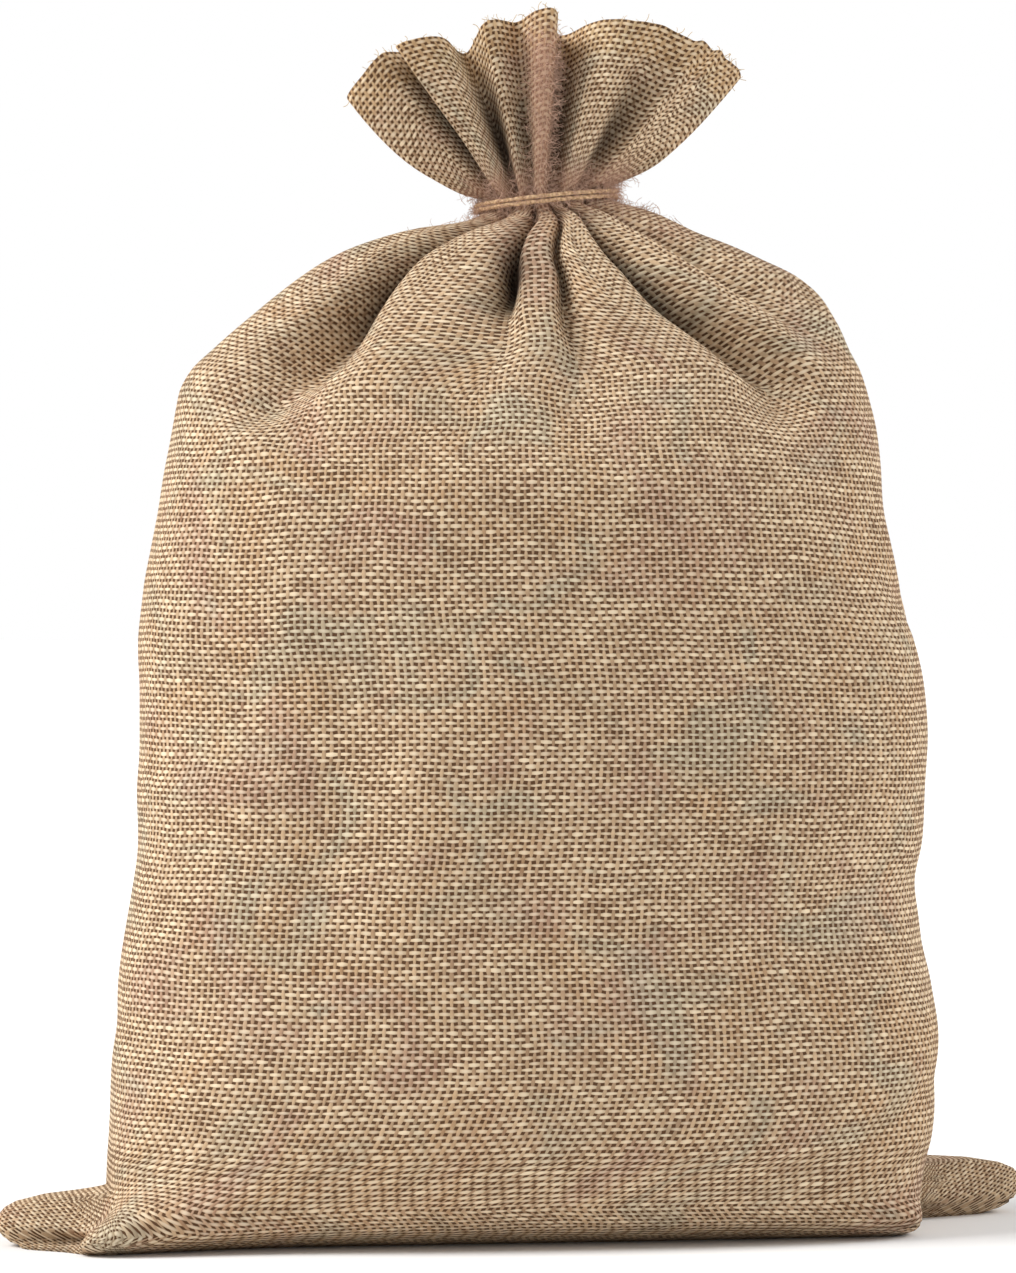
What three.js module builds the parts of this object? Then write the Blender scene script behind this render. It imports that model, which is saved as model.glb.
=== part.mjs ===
// A filled burlap sack standing on its flat base, tied at the neck with twine. Millimetres, +Z up, front -Y.
import * as THREE from 'three';
import { mergeVertices } from 'three/addons/utils/BufferGeometryUtils.js';

// Levels of the filled bag from the floor to the neck. Reaches are from the bag's axis, `square` is the
// squareness of the section and `groove` how far the fronts of the ears recede.
const LEVELS = [
  { z: 0, left: 152, right: 148, front: 52, back: 62, square: 4.2, groove: 5 },
  { z: 3, left: 157, right: 153, front: 63, back: 71, square: 3.9, groove: 6 },
  { z: 8, left: 160, right: 156, front: 73, back: 78, square: 3.6, groove: 1 },
  { z: 14, left: 161, right: 158, front: 79.5, back: 83, square: 3.35, groove: 4 },
  { z: 18.5, left: 161.5, right: 160, front: 82.5, back: 85, square: 3.2, groove: 8 },
  { z: 21, left: 161.5, right: 161, front: 84, back: 86, square: 3.12, groove: 9 },
  { z: 22.5, left: 161.5, right: 161.5, front: 85, back: 86.5, square: 3.08, groove: 9 },
  { z: 25.5, left: 161.5, right: 162.5, front: 86, back: 87, square: 3, groove: 9 },
  { z: 38, left: 161, right: 166, front: 89, back: 89, square: 2.75, groove: 0 },
  { z: 58, left: 160, right: 168.5, front: 90, back: 90, square: 2.55, groove: 0 },
  { z: 77, left: 159, right: 169.5, front: 90.5, back: 91, square: 2.42, groove: 0 },
  { z: 97, left: 157, right: 167, front: 90.5, back: 91, square: 2.3, groove: 0 },
  { z: 116, left: 154.5, right: 163, front: 90, back: 91, square: 2.3, groove: 0 },
  { z: 136, left: 152, right: 162, front: 90, back: 91, square: 2.3, groove: 0 },
  { z: 155, left: 149.5, right: 164, front: 90, back: 91, square: 2.3, groove: 0 },
  { z: 175, left: 148.5, right: 165, front: 90, back: 91, square: 2.3, groove: 0 },
  { z: 194, left: 147.5, right: 166, front: 90, back: 91, square: 2.3, groove: 0 },
  { z: 214, left: 147.5, right: 164.5, front: 90.5, back: 91, square: 2.3, groove: 0 },
  { z: 233, left: 148.5, right: 161.5, front: 91, back: 91, square: 2.3, groove: 0 },
  { z: 253, left: 147, right: 155.5, front: 92, back: 91, square: 2.25, groove: 0 },
  { z: 272, left: 144, right: 150.5, front: 93.5, back: 90, square: 2.25, groove: 0 },
  { z: 288, left: 141.5, right: 147.5, front: 94, back: 88, square: 2.2, groove: 0 },
  { z: 300, left: 140, right: 146.5, front: 91.5, back: 85.5, square: 2.2, groove: 0 },
  { z: 313, left: 138, right: 145, front: 86, back: 82, square: 2.15, groove: 0 },
  { z: 331, left: 135.5, right: 141.5, front: 76.5, back: 75, square: 2.1, groove: 0 },
  { z: 340, left: 131, right: 139, front: 71.5, back: 71, square: 2.1, groove: 0 },
  { z: 350, left: 120.5, right: 134.5, front: 66, back: 66, square: 2, groove: 0 },
  { z: 360, left: 109, right: 130.5, front: 60, back: 60, square: 2, groove: 0 },
  { z: 370, left: 97.5, right: 125.5, front: 53.5, back: 54, square: 2, groove: 0 },
  { z: 379, left: 86, right: 116.5, front: 47, back: 48, square: 2, groove: 0 },
  { z: 387, left: 73, right: 100.5, front: 40.5, back: 42, square: 2, groove: 0 },
  { z: 394, left: 53.5, right: 83.5, front: 34, back: 36, square: 2, groove: 0 },
  { z: 399, left: 33.5, right: 67.5, front: 28.5, back: 30, square: 2, groove: 0 },
  { z: 402.3, left: 21.5, right: 55, front: 24, back: 25, square: 2, groove: 0 },
  { z: 404.3, left: 17, right: 46, front: 22, back: 22.5, square: 2, groove: 0 },
  { z: 406.3, left: 13.5, right: 39.5, front: 22, back: 22.5, square: 2, groove: 0 },
];
const CLOTH_ROUND = 788; // length of cloth round the bag
const DENTS_FROM = 30; // height above which the body's dents are at full depth
const SHELF = 297; // height where the shoulders start to lean in
const NECK = 412; // top of the tied neck

// Fold lines below the tie: place round the cloth (0 right side, 0.5 left side, 0.75 front), angle at the
// neck, degrees it wanders from the plain gather at the first four depth heights, and a valley's depths.
const DEPTH_HEIGHTS = [312, 335, 360, 385, 404];
const STRAIGHT = [0, 0, 0, 0];
const FOLDS = [
  { around: 0.03, angle: -8, wander: STRAIGHT, depths: [0, 4, 9, 12, 6] },
  { around: 0.09, angle: 14, wander: STRAIGHT, depths: null },
  { around: 0.15, angle: 36, wander: STRAIGHT, depths: [0, 8, 15, 15, 7] },
  { around: 0.21, angle: 58, wander: STRAIGHT, depths: null },
  { around: 0.27, angle: 86, wander: STRAIGHT, depths: [4, 12, 18, 16, 7] },
  { around: 0.33, angle: 110, wander: STRAIGHT, depths: null },
  { around: 0.39, angle: 136, wander: STRAIGHT, depths: [0, 8, 16, 14, 7] },
  { around: 0.44, angle: 158, wander: STRAIGHT, depths: null },
  { around: 0.475, angle: 178, wander: STRAIGHT, depths: [0, 2, 5, 9, 6] },
  { around: 0.525, angle: 202, wander: STRAIGHT, depths: null },
  { around: 0.615, angle: 226, wander: [-8, -6, -4, -1], depths: [0, 13, 22, 20, 8] },
  { around: 0.7, angle: 243, wander: [-22, -17, -11, -1], depths: null },
  { around: 0.735, angle: 252, wander: [-8, -6, 0, 6], depths: [1.5, 3.5, 8, 20, 9] },
  { around: 0.757, angle: 258, wander: [-6, -5, -1, 3], depths: null },
  { around: 0.779, angle: 267, wander: [-5, -3, -2, 2], depths: [1.5, 5, 8, 10, 5] },
  { around: 0.84, angle: 272, wander: [-4, -2, -2, 1], depths: null },
  { around: 0.905, angle: 279, wander: [-7, -3, 1, 8], depths: [1, 13, 22, 21, 9] },
  { around: 0.93, angle: 288, wander: [-4, 0, 4, 8], depths: null },
  { around: 0.945, angle: 297, wander: [-2, 0, 4, 8], depths: [0, 0, 2.5, 6, 5] },
  { around: 0.968, angle: 328, wander: [0, 0, 6, 3], depths: null },
];

// Soft troughs (positive depth) and swells (negative) of the filled body: place round the cloth and height,
// half sizes along and across a line tilted from level, and depth.
const DENTS = [
  { around: 0.6, z: 328, along: 16, across: 9, tilt: 0, depth: 4 },
  { around: 0.6, z: 311, along: 26, across: 6, tilt: -15, depth: -3 },
  { around: 0.71, z: 344, along: 26, across: 20, tilt: 0, depth: -3 },
  { around: 0.968, z: 372, along: 10, across: 4, tilt: 30, depth: 4 },
  { around: 0.645, z: 200, along: 105, across: 22, tilt: 86, depth: 3.2 },
  { around: 0.585, z: 214, along: 26, across: 26, tilt: 0, depth: 3.5 },
  { around: 0.575, z: 178, along: 40, across: 8, tilt: 4, depth: -2.5 },
  { around: 0.58, z: 58, along: 45, across: 9, tilt: -14, depth: -3 },
  { around: 0.925, z: 46, along: 45, across: 8, tilt: 18, depth: 3.2 },
  { around: 0.86, z: 225, along: 30, across: 30, tilt: 0, depth: 2.5 },
  { around: 0.93, z: 130, along: 60, across: 12, tilt: 12, depth: 2.2 },
  { around: 0.97, z: 245, along: 50, across: 12, tilt: -40, depth: 2.6 },
  { around: 0.08, z: 190, along: 80, across: 20, tilt: 80, depth: 4 },
  { around: 0.17, z: 80, along: 60, across: 14, tilt: -20, depth: 3.5 },
  { around: 0.24, z: 240, along: 90, across: 18, tilt: 20, depth: 3.5 },
  { around: 0.33, z: 130, along: 90, across: 22, tilt: 75, depth: 3.5 },
  { around: 0.42, z: 235, along: 60, across: 16, tilt: 60, depth: 4 },
  { around: 0.44, z: 70, along: 50, across: 12, tilt: 15, depth: 3.5 },
];

// The open ruffle above the tie: places on the rim in order round the cloth, with the angle where each leaves
// the neck. `core` is its angle round the plain hollow inside, `pleat` how far it is pressed in at the neck,
// `tuck` the depth of a crease half way up and `sag` how far the cloth hangs below its line there.
const RIM = [
  { around: 0.008, x: 88.74, y: 7, z: 460, angle: 1, core: 2, pleat: 1, tuck: 0, sag: 5 },
  { around: 0.034, x: 78.54, y: 11, z: 462, angle: 13, core: 12, pleat: 5, tuck: 0, sag: 0 },
  { around: 0.09, x: 69.36, y: 30, z: 465, angle: 30, core: 30, pleat: 0, tuck: 0, sag: 0 },
  { around: 0.15, x: 46.92, y: 12, z: 467, angle: 48, core: 48, pleat: 5, tuck: 0, sag: 0 },
  { around: 0.21, x: 34.68, y: 40, z: 470, angle: 66, core: 66, pleat: 0, tuck: 0, sag: 0 },
  { around: 0.27, x: 14.28, y: 14, z: 470, angle: 84, core: 84, pleat: 5, tuck: 0, sag: 0 },
  { around: 0.33, x: -4.08, y: 39, z: 469, angle: 102, core: 102, pleat: 0, tuck: 0, sag: 0 },
  { around: 0.39, x: -22.44, y: 13, z: 466, angle: 121, core: 124, pleat: 5, tuck: 0, sag: 0 },
  { around: 0.44, x: -42.84, y: 28, z: 461, angle: 142, core: 153, pleat: 0, tuck: 0, sag: 0 },
  { around: 0.475, x: -48.96, y: 10, z: 456, angle: 161, core: 160, pleat: 4, tuck: 0, sag: 4 },
  { around: 0.525, x: -67.32, y: -5, z: 448, angle: 184, core: 165, pleat: 0, tuck: 0, sag: 9 },
  { around: 0.558, x: -56.1, y: -19, z: 463, angle: 198, core: 170, pleat: 0, tuck: 0, sag: 4 },
  { around: 0.577, x: -42.84, y: -8, z: 466, angle: 204, core: 175, pleat: 5, tuck: 0, sag: 0 },
  { around: 0.592, x: -37.74, y: -12, z: 466, angle: 210, core: 180, pleat: 5, tuck: 0, sag: 0 },
  { around: 0.612, x: -51, y: -29, z: 465.5, angle: 217, core: 187, pleat: 0, tuck: 0, sag: 0 },
  { around: 0.628, x: -39.78, y: -35, z: 470.8, angle: 222, core: 190, pleat: 0, tuck: 0, sag: 0 },
  { around: 0.645, x: -30.6, y: -30, z: 468.5, angle: 227, core: 194, pleat: 0, tuck: 0, sag: 0 },
  { around: 0.668, x: -20.4, y: -8, z: 467, angle: 232, core: 199, pleat: 6, tuck: 0, sag: 0 },
  { around: 0.7, x: -14.28, y: -22, z: 477.5, angle: 240, core: 214, pleat: 0, tuck: 0, sag: 0 },
  { around: 0.73, x: 0, y: -13, z: 478, angle: 249, core: 233, pleat: 4, tuck: 0, sag: 0 },
  { around: 0.744, x: 5.61, y: -22, z: 481, angle: 254, core: 243, pleat: 0, tuck: 0, sag: 0 },
  { around: 0.76, x: 13.26, y: -23, z: 481.5, angle: 261, core: 256, pleat: 0, tuck: 0, sag: 0 },
  { around: 0.778, x: 18.36, y: 1, z: 474, angle: 269, core: 268, pleat: 5, tuck: 0, sag: 0 },
  { around: 0.81, x: 31.62, y: -21, z: 478, angle: 280, core: 283, pleat: 0, tuck: 0, sag: 0 },
  { around: 0.84, x: 45.9, y: -28, z: 478.5, angle: 288, core: 293, pleat: 0, tuck: 0, sag: 0 },
  { around: 0.872, x: 59.16, y: -24, z: 476, angle: 298, core: 305, pleat: 4, tuck: 6, sag: 0 },
  { around: 0.905, x: 71.4, y: -24, z: 470, angle: 312, core: 320, pleat: 0, tuck: 0, sag: 0 },
  { around: 0.945, x: 82.62, y: -14, z: 466, angle: 330, core: 335, pleat: 0, tuck: 0, sag: 0 },
  { around: 0.968, x: 88.5, y: -7, z: 463.5, angle: 343, core: 345, pleat: 0, tuck: 0, sag: 2 },
  { around: 0.99, x: 91.5, y: 0, z: 459, angle: 354, core: 355, pleat: 0, tuck: 0, sag: 5 },
];
const RIM_HEIGHT = 470; // mean height of the rim
const CLOTH = 2; // thickness of the hemmed mouth
const OUTER_STEPS = [0.07, 0.16, 0.27, 0.4, 0.54, 0.68, 0.82, 0.93, 1]; // share of the way up the ruffle
// Back down the inside: share of the height, and how far the pleats have closed up to the core.
const INNER_STEPS = [
  { share: 1, closed: 0 },
  { share: 0.86, closed: 0 },
  { share: 0.72, closed: 0.12 },
  { share: 0.6, closed: 0.45 },
  { share: 0.5, closed: 0.8 },
  { share: 0.44, closed: 1 },
];
const CORE = { x: 18.4, y: 1.5, halfX: 26.5, halfY: 5.5, drop: 3 }; // the plain hollow left inside the pleats
const BASE_STEPS = [0.4, 0.72, 0.92]; // rings of the flat base

// The floor corners lie flat as ears: way along x, reach past the side, top, place and lean along y.
const EARS = [
  { way: -1, reach: 44.5, top: 19, y: -20, lean: -8 },
  { way: 1, reach: 55, top: 23, y: 18, lean: 10 },
];
const EAR = { halfWidth: 19, middle: 0.4, round: 3 }; // middle is the share of the height of farthest reach
const LOBE = { sharpness: 4, from: 0.35, full: 0.75 }; // how square an ear's tip is, and where it starts
const PULL = { from: 70, to: 5 }; // heights where the cloth is drawn toward the ears
// Front corners of the base pushed out along the floor, by angle.
const TOES = [{ angle: 219, x: -38, y: -26 }, { angle: 322, x: 14, y: -8 }];
const TOE = { height: 30, spread: 20 };

const COLUMN_TARGET = 97; // columns round the cloth, shared out between the fold lines
const FINEST_SHARE = 3; // fewest columns between two fold lines
const CREST_SPREAD = 2.2; // how much of the visible cloth belongs to the crests at the neck
const VALLEY_SHARPNESS = 1.35; // above 1 the fold lines' valleys are narrower than their crests
const GATHER = { from: 338, to: 386 }; // heights between which the cloth turns to its neck angles
const LEAN = { slope: 0.105, from: 396, gone: 0.4 }; // rise of the neck to the right, gone up the ruffle
const SECTION_STEPS = 360; // steps of a section's measured outline

// Twine: two strands round the neck that swap places in a twisted knot at the back.
const TWINE = { radius: 0.9, apart: 1, clear: 0.6, height: 408.5, tilt: 3, sides: 8, steps: 84 };
const KNOT = { angle: 95, spread: 24, halfTwists: 3, bulge: 2, loosen: 0.5 };

const COLOURS = { burlap: 0xa98d6c, twine: 0xa98257 };

const TAU = Math.PI * 2;
const rad = (degrees) => degrees * Math.PI / 180;
const lerp = (a, b, t) => a + (b - a) * t;
const ease = (from, to, value) => {
  const t = Math.min(1, Math.max(0, (value - from) / (to - from)));
  return t * t * (3 - 2 * t);
};

/** The two rows of a table on either side of a place round the cloth, and the share of the way between. */
function bracket(rows, around) {
  const from = (rows.findLastIndex((row) => row.around <= around) + rows.length) % rows.length;
  const to = (from + 1) % rows.length;
  const span = (rows[to].around - rows[from].around + 1) % 1;
  return { from, to, span, share: ((around - rows[from].around + 1) % 1) / span };
}

/** Value of a table at a height, straight between its rows and level past its ends. */
function valueAt(heights, values, z) {
  const next = heights.findIndex((height) => height >= z);
  if (next < 1) return next === 0 ? values[0] : values.at(-1);
  const share = (z - heights[next - 1]) / (heights[next] - heights[next - 1]);
  return lerp(values[next - 1], values[next], share);
}

/** Share of an ear's reach at a height: a rounded tip, flat on top. */
function earShare(ear, z) {
  const rise = Math.min(1, Math.abs(z / ear.top - EAR.middle) / (1 - EAR.middle));
  return (1 - rise ** EAR.round) ** (1 / EAR.round);
}

/** Point of a level's section at an angle, with ears and toes; `pull` replaces the ears' own shares. */
function sectionPoint(level, angle, pull) {
  const [c, s] = [Math.cos(angle), Math.sin(angle)];
  const power = 2 / level.square;
  const halfX = (level.left + level.right) / 2;
  const halfY = (level.front + level.back) / 2;
  const x = (level.right - level.left) / 2 + halfX * Math.sign(c) * Math.abs(c) ** power;
  const y = (level.back - level.front) / 2 + halfY * Math.sign(s) * Math.abs(s) ** power;
  const moves = EARS.map((ear) => {
    const off = y - ear.y;
    const half = EAR.halfWidth - (off < 0 ? level.groove : 0);
    const lobe = Math.exp(-((off / half) ** LOBE.sharpness)) * ease(LOBE.from, LOBE.full, ear.way * c);
    const reach = lobe * (pull ?? earShare(ear, level.z));
    return [ear.way * ear.reach * reach, ear.lean * reach];
  });
  const degrees = (angle * 360 / TAU + 360) % 360;
  moves.push(...TOES.map((toe) => {
    const push = Math.exp(-(((degrees - toe.angle) / TOE.spread) ** 2)) * (1 - ease(0, TOE.height, level.z));
    return [toe.x * push, toe.y * push];
  }));
  return moves.reduce((sum, move) => [sum[0] + move[0], sum[1] + move[1]], [x, y]);
}

/** Lookup from place round the cloth to section angle, by length, with side seams at 0 and a half. */
function sectionAngles(level) {
  const pull = 1 - ease(PULL.to, PULL.from, level.z);
  const lengths = [0];
  let last = sectionPoint(level, 0, pull);
  for (let i = 1; i <= SECTION_STEPS; i += 1) {
    const point = sectionPoint(level, TAU * i / SECTION_STEPS, pull);
    lengths.push(lengths[i - 1] + Math.hypot(point[0] - last[0], point[1] - last[1]));
    last = point;
  }
  const half = SECTION_STEPS / 2;
  return (around) => {
    const behind = around < 0.5;
    const [low, high] = behind ? [0, half] : [half, SECTION_STEPS];
    const wanted = lerp(lengths[low], lengths[high], (around - (behind ? 0 : 0.5)) * 2);
    let i = low + 1;
    while (i < high && lengths[i] < wanted) i += 1;
    return TAU * (i - 1 + (wanted - lengths[i - 1]) / (lengths[i] - lengths[i - 1])) / SECTION_STEPS;
  };
}

/** Where a place round the cloth lies between its crest (0) and its valley (1), and which valley that is. */
function foldAt(around) {
  const { from, to, share } = bracket(FOLDS, around);
  const towardValley = FOLDS[to].depths !== null;
  return {
    crest: FOLDS[towardValley ? from : to],
    valley: FOLDS[towardValley ? to : from],
    share: towardValley ? share : 1 - share,
  };
}

/** Share of the angle from crest to valley at the neck, where crests keep their cloth. */
const spread = (share) => (1 + CREST_SPREAD) * share / (1 + CREST_SPREAD * share);

/** Angle round the neck of a place round the cloth: valleys take up what the crests leave. */
function neckAngle(around) {
  const { crest, valley, share } = foldAt(around);
  const turn = ((valley.angle - crest.angle + 540) % 360) - 180;
  const angle = rad(crest.angle + turn * spread(share));
  return angle + TAU * Math.round((around * TAU - angle) / TAU);
}

/** How far a place round the cloth strays from the plain gather at a height, in radians. */
function wanderAt(around, z, gathered) {
  const { crest, valley, share } = foldAt(around);
  const [atCrest, atValley] = [crest, valley].map((fold) => (
    valueAt([SHELF, ...DEPTH_HEIGHTS], [0, ...fold.wander, 0], z)));
  return rad(lerp(atCrest, atValley, lerp(share, spread(share), gathered)));
}

/** Depth of the folds at a place round the cloth and a height. */
function foldDepth(around, z) {
  const { valley, share } = foldAt(around);
  const depth = valueAt([SHELF, ...DEPTH_HEIGHTS, NECK], [0, ...valley.depths, 0], z);
  return depth * (1 - Math.cos(Math.PI * share ** VALLEY_SHARPNESS)) / 2;
}

/** Rise of the leaning neck at an x. */
function leanAt(x) {
  const neck = LEVELS.at(-1);
  return LEAN.slope * (x - (neck.right - neck.left) / 2);
}

/** Depth of the body's soft dents at a place round the cloth and a height. */
function dentDepth(around, z) {
  return DENTS.reduce((sum, dent) => {
    const aside = (((around - dent.around + 1.5) % 1) - 0.5) * CLOTH_ROUND;
    const rise = z - dent.z;
    const [c, s] = [Math.cos(rad(dent.tilt)), Math.sin(rad(dent.tilt))];
    const [u, v] = [(aside * c + rise * s) / dent.along, (rise * c - aside * s) / dent.across];
    return sum + dent.depth * Math.exp(-u * u - v * v);
  }, 0);
}

/** Places of the columns: each stretch between two fold lines gets its share. */
function columnPlaces() {
  const places = [];
  for (let k = 0; k < FOLDS.length; k += 1) {
    const start = FOLDS[k].around;
    const end = k + 1 < FOLDS.length ? FOLDS[k + 1].around : FOLDS[0].around + 1;
    const count = Math.max(FINEST_SHARE, Math.round((end - start) * COLUMN_TARGET));
    for (let i = 0; i < count; i += 1) places.push((start + (end - start) * i / count) % 1);
  }
  return places.sort((a, b) => a - b);
}

/** One ring of the filled bag before its folds are pressed in. */
function hullRing(level, places) {
  const angles = sectionAngles(level);
  const gathered = ease(GATHER.from, GATHER.to, level.z);
  return places.map((around) => {
    const angle = lerp(angles(around), neckAngle(around), gathered) + wanderAt(around, level.z, gathered);
    return new THREE.Vector3(...sectionPoint(level, angle), level.z);
  });
}

/** From the point before this one on a ring to the point after it. */
const alongRing = (ring, i) => ring[(i + 1) % ring.length].clone().sub(ring.at(i - 1));

/** Rings of the filled bag from the floor to the top of the neck, with folds and dents pressed in. */
function bagRings(places) {
  const hulls = LEVELS.map((level) => hullRing(level, places));
  return hulls.map((ring, i) => {
    const [below, above] = [hulls[Math.max(0, i - 1)], hulls[Math.min(hulls.length - 1, i + 1)]];
    const { z } = LEVELS[i];
    return ring.map((point, j) => {
      const outward = alongRing(ring, j).cross(above[j].clone().sub(below[j])).normalize();
      const depth = foldDepth(places[j], z) + dentDepth(places[j], z) * ease(0, DENTS_FROM, z);
      const moved = point.clone().addScaledVector(outward, -depth);
      moved.z += leanAt(moved.x) * ease(LEAN.from, LEVELS.at(-1).z, z);
      return moved;
    });
  });
}

/** A column of the RIM table on a smooth closed curve, at a place round the cloth. Angles gain 360 a turn. */
function rimValue(key, around, turn = 0) {
  const { from, to, share, span } = bracket(RIM, around);
  const gain = (before, after) => after[key] - before[key] + (after.around < before.around ? turn : 0);
  const slopeAt = (index) => {
    const [before, after] = [RIM.at(index - 1), RIM[(index + 1) % RIM.length]];
    return gain(before, after) / ((after.around - before.around + 1) % 1);
  };
  const rise = gain(RIM[from], RIM[to]) * share ** 2 * (3 - 2 * share);
  const lead = slopeAt(from) * share * (1 - share) ** 2 - slopeAt(to) * share ** 2 * (1 - share);
  return RIM[from][key] + rise + span * lead;
}

/** A ring of the ruffle, part of the way from the top of the neck to the rim. */
function ruffleRing(places, share) {
  const neck = LEVELS.at(-1);
  return places.map((around) => {
    const angle = rad(rimValue('angle', around, 360));
    const [x, y] = sectionPoint(neck, angle);
    const pleat = Math.max(0, rimValue('pleat', around));
    const point = new THREE.Vector3(x - pleat * Math.cos(angle), y - pleat * Math.sin(angle), NECK);
    const rim = new THREE.Vector3(...['x', 'y', 'z'].map((key) => rimValue(key, around)));
    const half = 4 * share * (1 - share);
    const rise = leanAt(x) * (1 - ease(0, LEAN.gone, share)) - rimValue('sag', around) * half;
    return point.lerp(rim, share).add(new THREE.Vector3(0, rimValue('tuck', around) * half, rise));
  });
}

/** The plain hollow's ring, at one height. */
function coreRing(places, z) {
  return places.map((around) => {
    const angle = rad(rimValue('core', around, 360));
    return new THREE.Vector3(CORE.x + CORE.halfX * Math.cos(angle), CORE.y + CORE.halfY * Math.sin(angle), z);
  });
}

/** The same ring moved in by the cloth's thickness. */
function insideRing(ring) {
  return ring.map((point, i) => {
    const along = alongRing(ring, i);
    return point.clone().addScaledVector(new THREE.Vector3(along.y, -along.x, 0).normalize(), -CLOTH);
  });
}

/** An indexed geometry from its points and faces. */
function geometryOf(points, faces) {
  const geometry = new THREE.BufferGeometry();
  geometry.setAttribute('position', new THREE.Float32BufferAttribute(points.flatMap((p) => p.toArray()), 3));
  geometry.setIndex(faces);
  return geometry;
}

/** Faces between one ring and the next, where `at` gives a point's index. */
function bandFaces(at, ring, columns) {
  return Array.from({ length: columns }, (_, j) => [
    at(ring, j), at(ring, j + 1), at(ring + 1, j + 1),
    at(ring, j), at(ring + 1, j + 1), at(ring + 1, j),
  ]).flat();
}

/** Closed surface through rings, closed by a pole at each end. */
function closedSurface(first, rings, final) {
  const columns = rings[0].length;
  const points = [first, ...rings.flat(), final];
  const at = (ring, column) => 1 + ring * columns + (column % columns);
  const faces = rings.slice(1).flatMap((_, i) => bandFaces(at, i, columns));
  for (let j = 0; j < columns; j += 1) {
    faces.push(0, at(0, j + 1), at(0, j));
    faces.push(points.length - 1, at(rings.length - 1, j), at(rings.length - 1, j + 1));
  }
  return geometryOf(points, faces);
}

/** The rings down the inside of the ruffle. */
function insideRings(places) {
  const neckZ = (share) => lerp(NECK, RIM_HEIGHT, share);
  return INNER_STEPS.map(({ share, closed }) => {
    const core = coreRing(places, neckZ(share));
    return insideRing(ruffleRing(places, share)).map((point, i) => point.lerp(core[i], closed));
  });
}

/** The bag: flat base, filled body, neck and the hollow ruffle. */
function sackGeometry() {
  const places = columnPlaces();
  const bag = bagRings(places);
  const baseCentre = new THREE.Vector3(0, 0, 0);
  const base = BASE_STEPS.map((step) => bag[0].map((point) => point.clone().multiplyScalar(step)));
  const outside = [0, ...OUTER_STEPS].map((share) => ruffleRing(places, share));
  const inside = insideRings(places);
  const floor = new THREE.Vector3(CORE.x, CORE.y, inside.at(-1)[0].z - CORE.drop);
  return closedSurface(baseCentre, [...base, ...bag, ...outside, ...inside], floor);
}

/** Point on the centre of the twine, which makes two turns round the neck. */
function twineCentre(turn) {
  const neck = LEVELS.at(-1);
  const fromKnot = (turn % TAU) - rad(KNOT.angle);
  const nearKnot = ease(Math.cos(rad(KNOT.spread * 2)), Math.cos(rad(KNOT.spread)), Math.cos(fromKnot));
  const gap = TWINE.clear + TWINE.radius + KNOT.bulge * nearKnot;
  const halfX = (neck.left + neck.right) / 2 + gap;
  const halfY = neck.front + gap;
  const middle = new THREE.Vector3((neck.right - neck.left) / 2, 0, TWINE.height);
  const [c, s] = [Math.cos(turn), Math.sin(turn)];
  const swing = new THREE.Vector3(halfX * c, halfY * s, TWINE.tilt * c);
  const out = new THREE.Vector3(c / halfX, s / halfY, 0).normalize();
  const knotTurn = ease(-rad(KNOT.spread), rad(KNOT.spread), fromKnot) + Math.floor(turn / TAU);
  const strand = Math.PI * KNOT.halfTwists * knotTurn;
  const apart = TWINE.apart + KNOT.loosen * nearKnot;
  const offset = out.multiplyScalar(Math.sin(strand)).add(new THREE.Vector3(0, 0, Math.cos(strand)));
  return middle.add(swing).addScaledVector(offset, apart);
}

/** The twine as one closed tube. */
function tieGeometry() {
  const steps = TWINE.steps * 2;
  const centres = Array.from({ length: steps }, (_, i) => twineCentre(2 * TAU * i / steps));
  const points = centres.flatMap((centre, i) => {
    const along = alongRing(centres, i).normalize();
    const side = new THREE.Vector3(0, 0, 1).cross(along).normalize();
    const rise = along.cross(side);
    return Array.from({ length: TWINE.sides }, (_, k) => {
      const angle = TAU * k / TWINE.sides;
      return centre.clone().addScaledVector(side, TWINE.radius * Math.cos(angle))
        .addScaledVector(rise, TWINE.radius * Math.sin(angle));
    });
  });
  const at = (step, k) => (step % steps) * TWINE.sides + (k % TWINE.sides);
  return geometryOf(points, centres.flatMap((_, i) => bandFaces(at, i, TWINE.sides)));
}

/** A named mesh of one colour. */
function piece(name, geometry, colour) {
  const merged = mergeVertices(geometry);
  merged.computeVertexNormals();
  const material = new THREE.MeshStandardMaterial({ color: colour, roughness: 0.95, metalness: 0 });
  const mesh = new THREE.Mesh(merged, material);
  mesh.name = name;
  return mesh;
}

const model = new THREE.Group();
model.name = 'burlap_sack';
model.add(piece('sack', sackGeometry(), COLOURS.burlap), piece('tie', tieGeometry(), COLOURS.twine));
const bounds = new THREE.Box3().setFromObject(model);
model.position.x = -(bounds.min.x + bounds.max.x) / 2;
model.position.y = -(bounds.min.y + bounds.max.y) / 2;
export default model;
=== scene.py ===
"""A filled burlap sack with its neck tied in twine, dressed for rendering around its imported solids.

Metres, +Z up, front at -Y. The tables are in millimetres, which MM turns to metres.
A place round the cloth runs from 0 at the right side seam by 0.25 at the back, 0.5 at the left side
seam and 0.75 at the front to 1.
"""

import logging
import math
from dataclasses import dataclass, field
from enum import Enum
from typing import Any, NamedTuple

import bpy
import numpy as np
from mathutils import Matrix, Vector
from numpy import ndarray as Array


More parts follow.
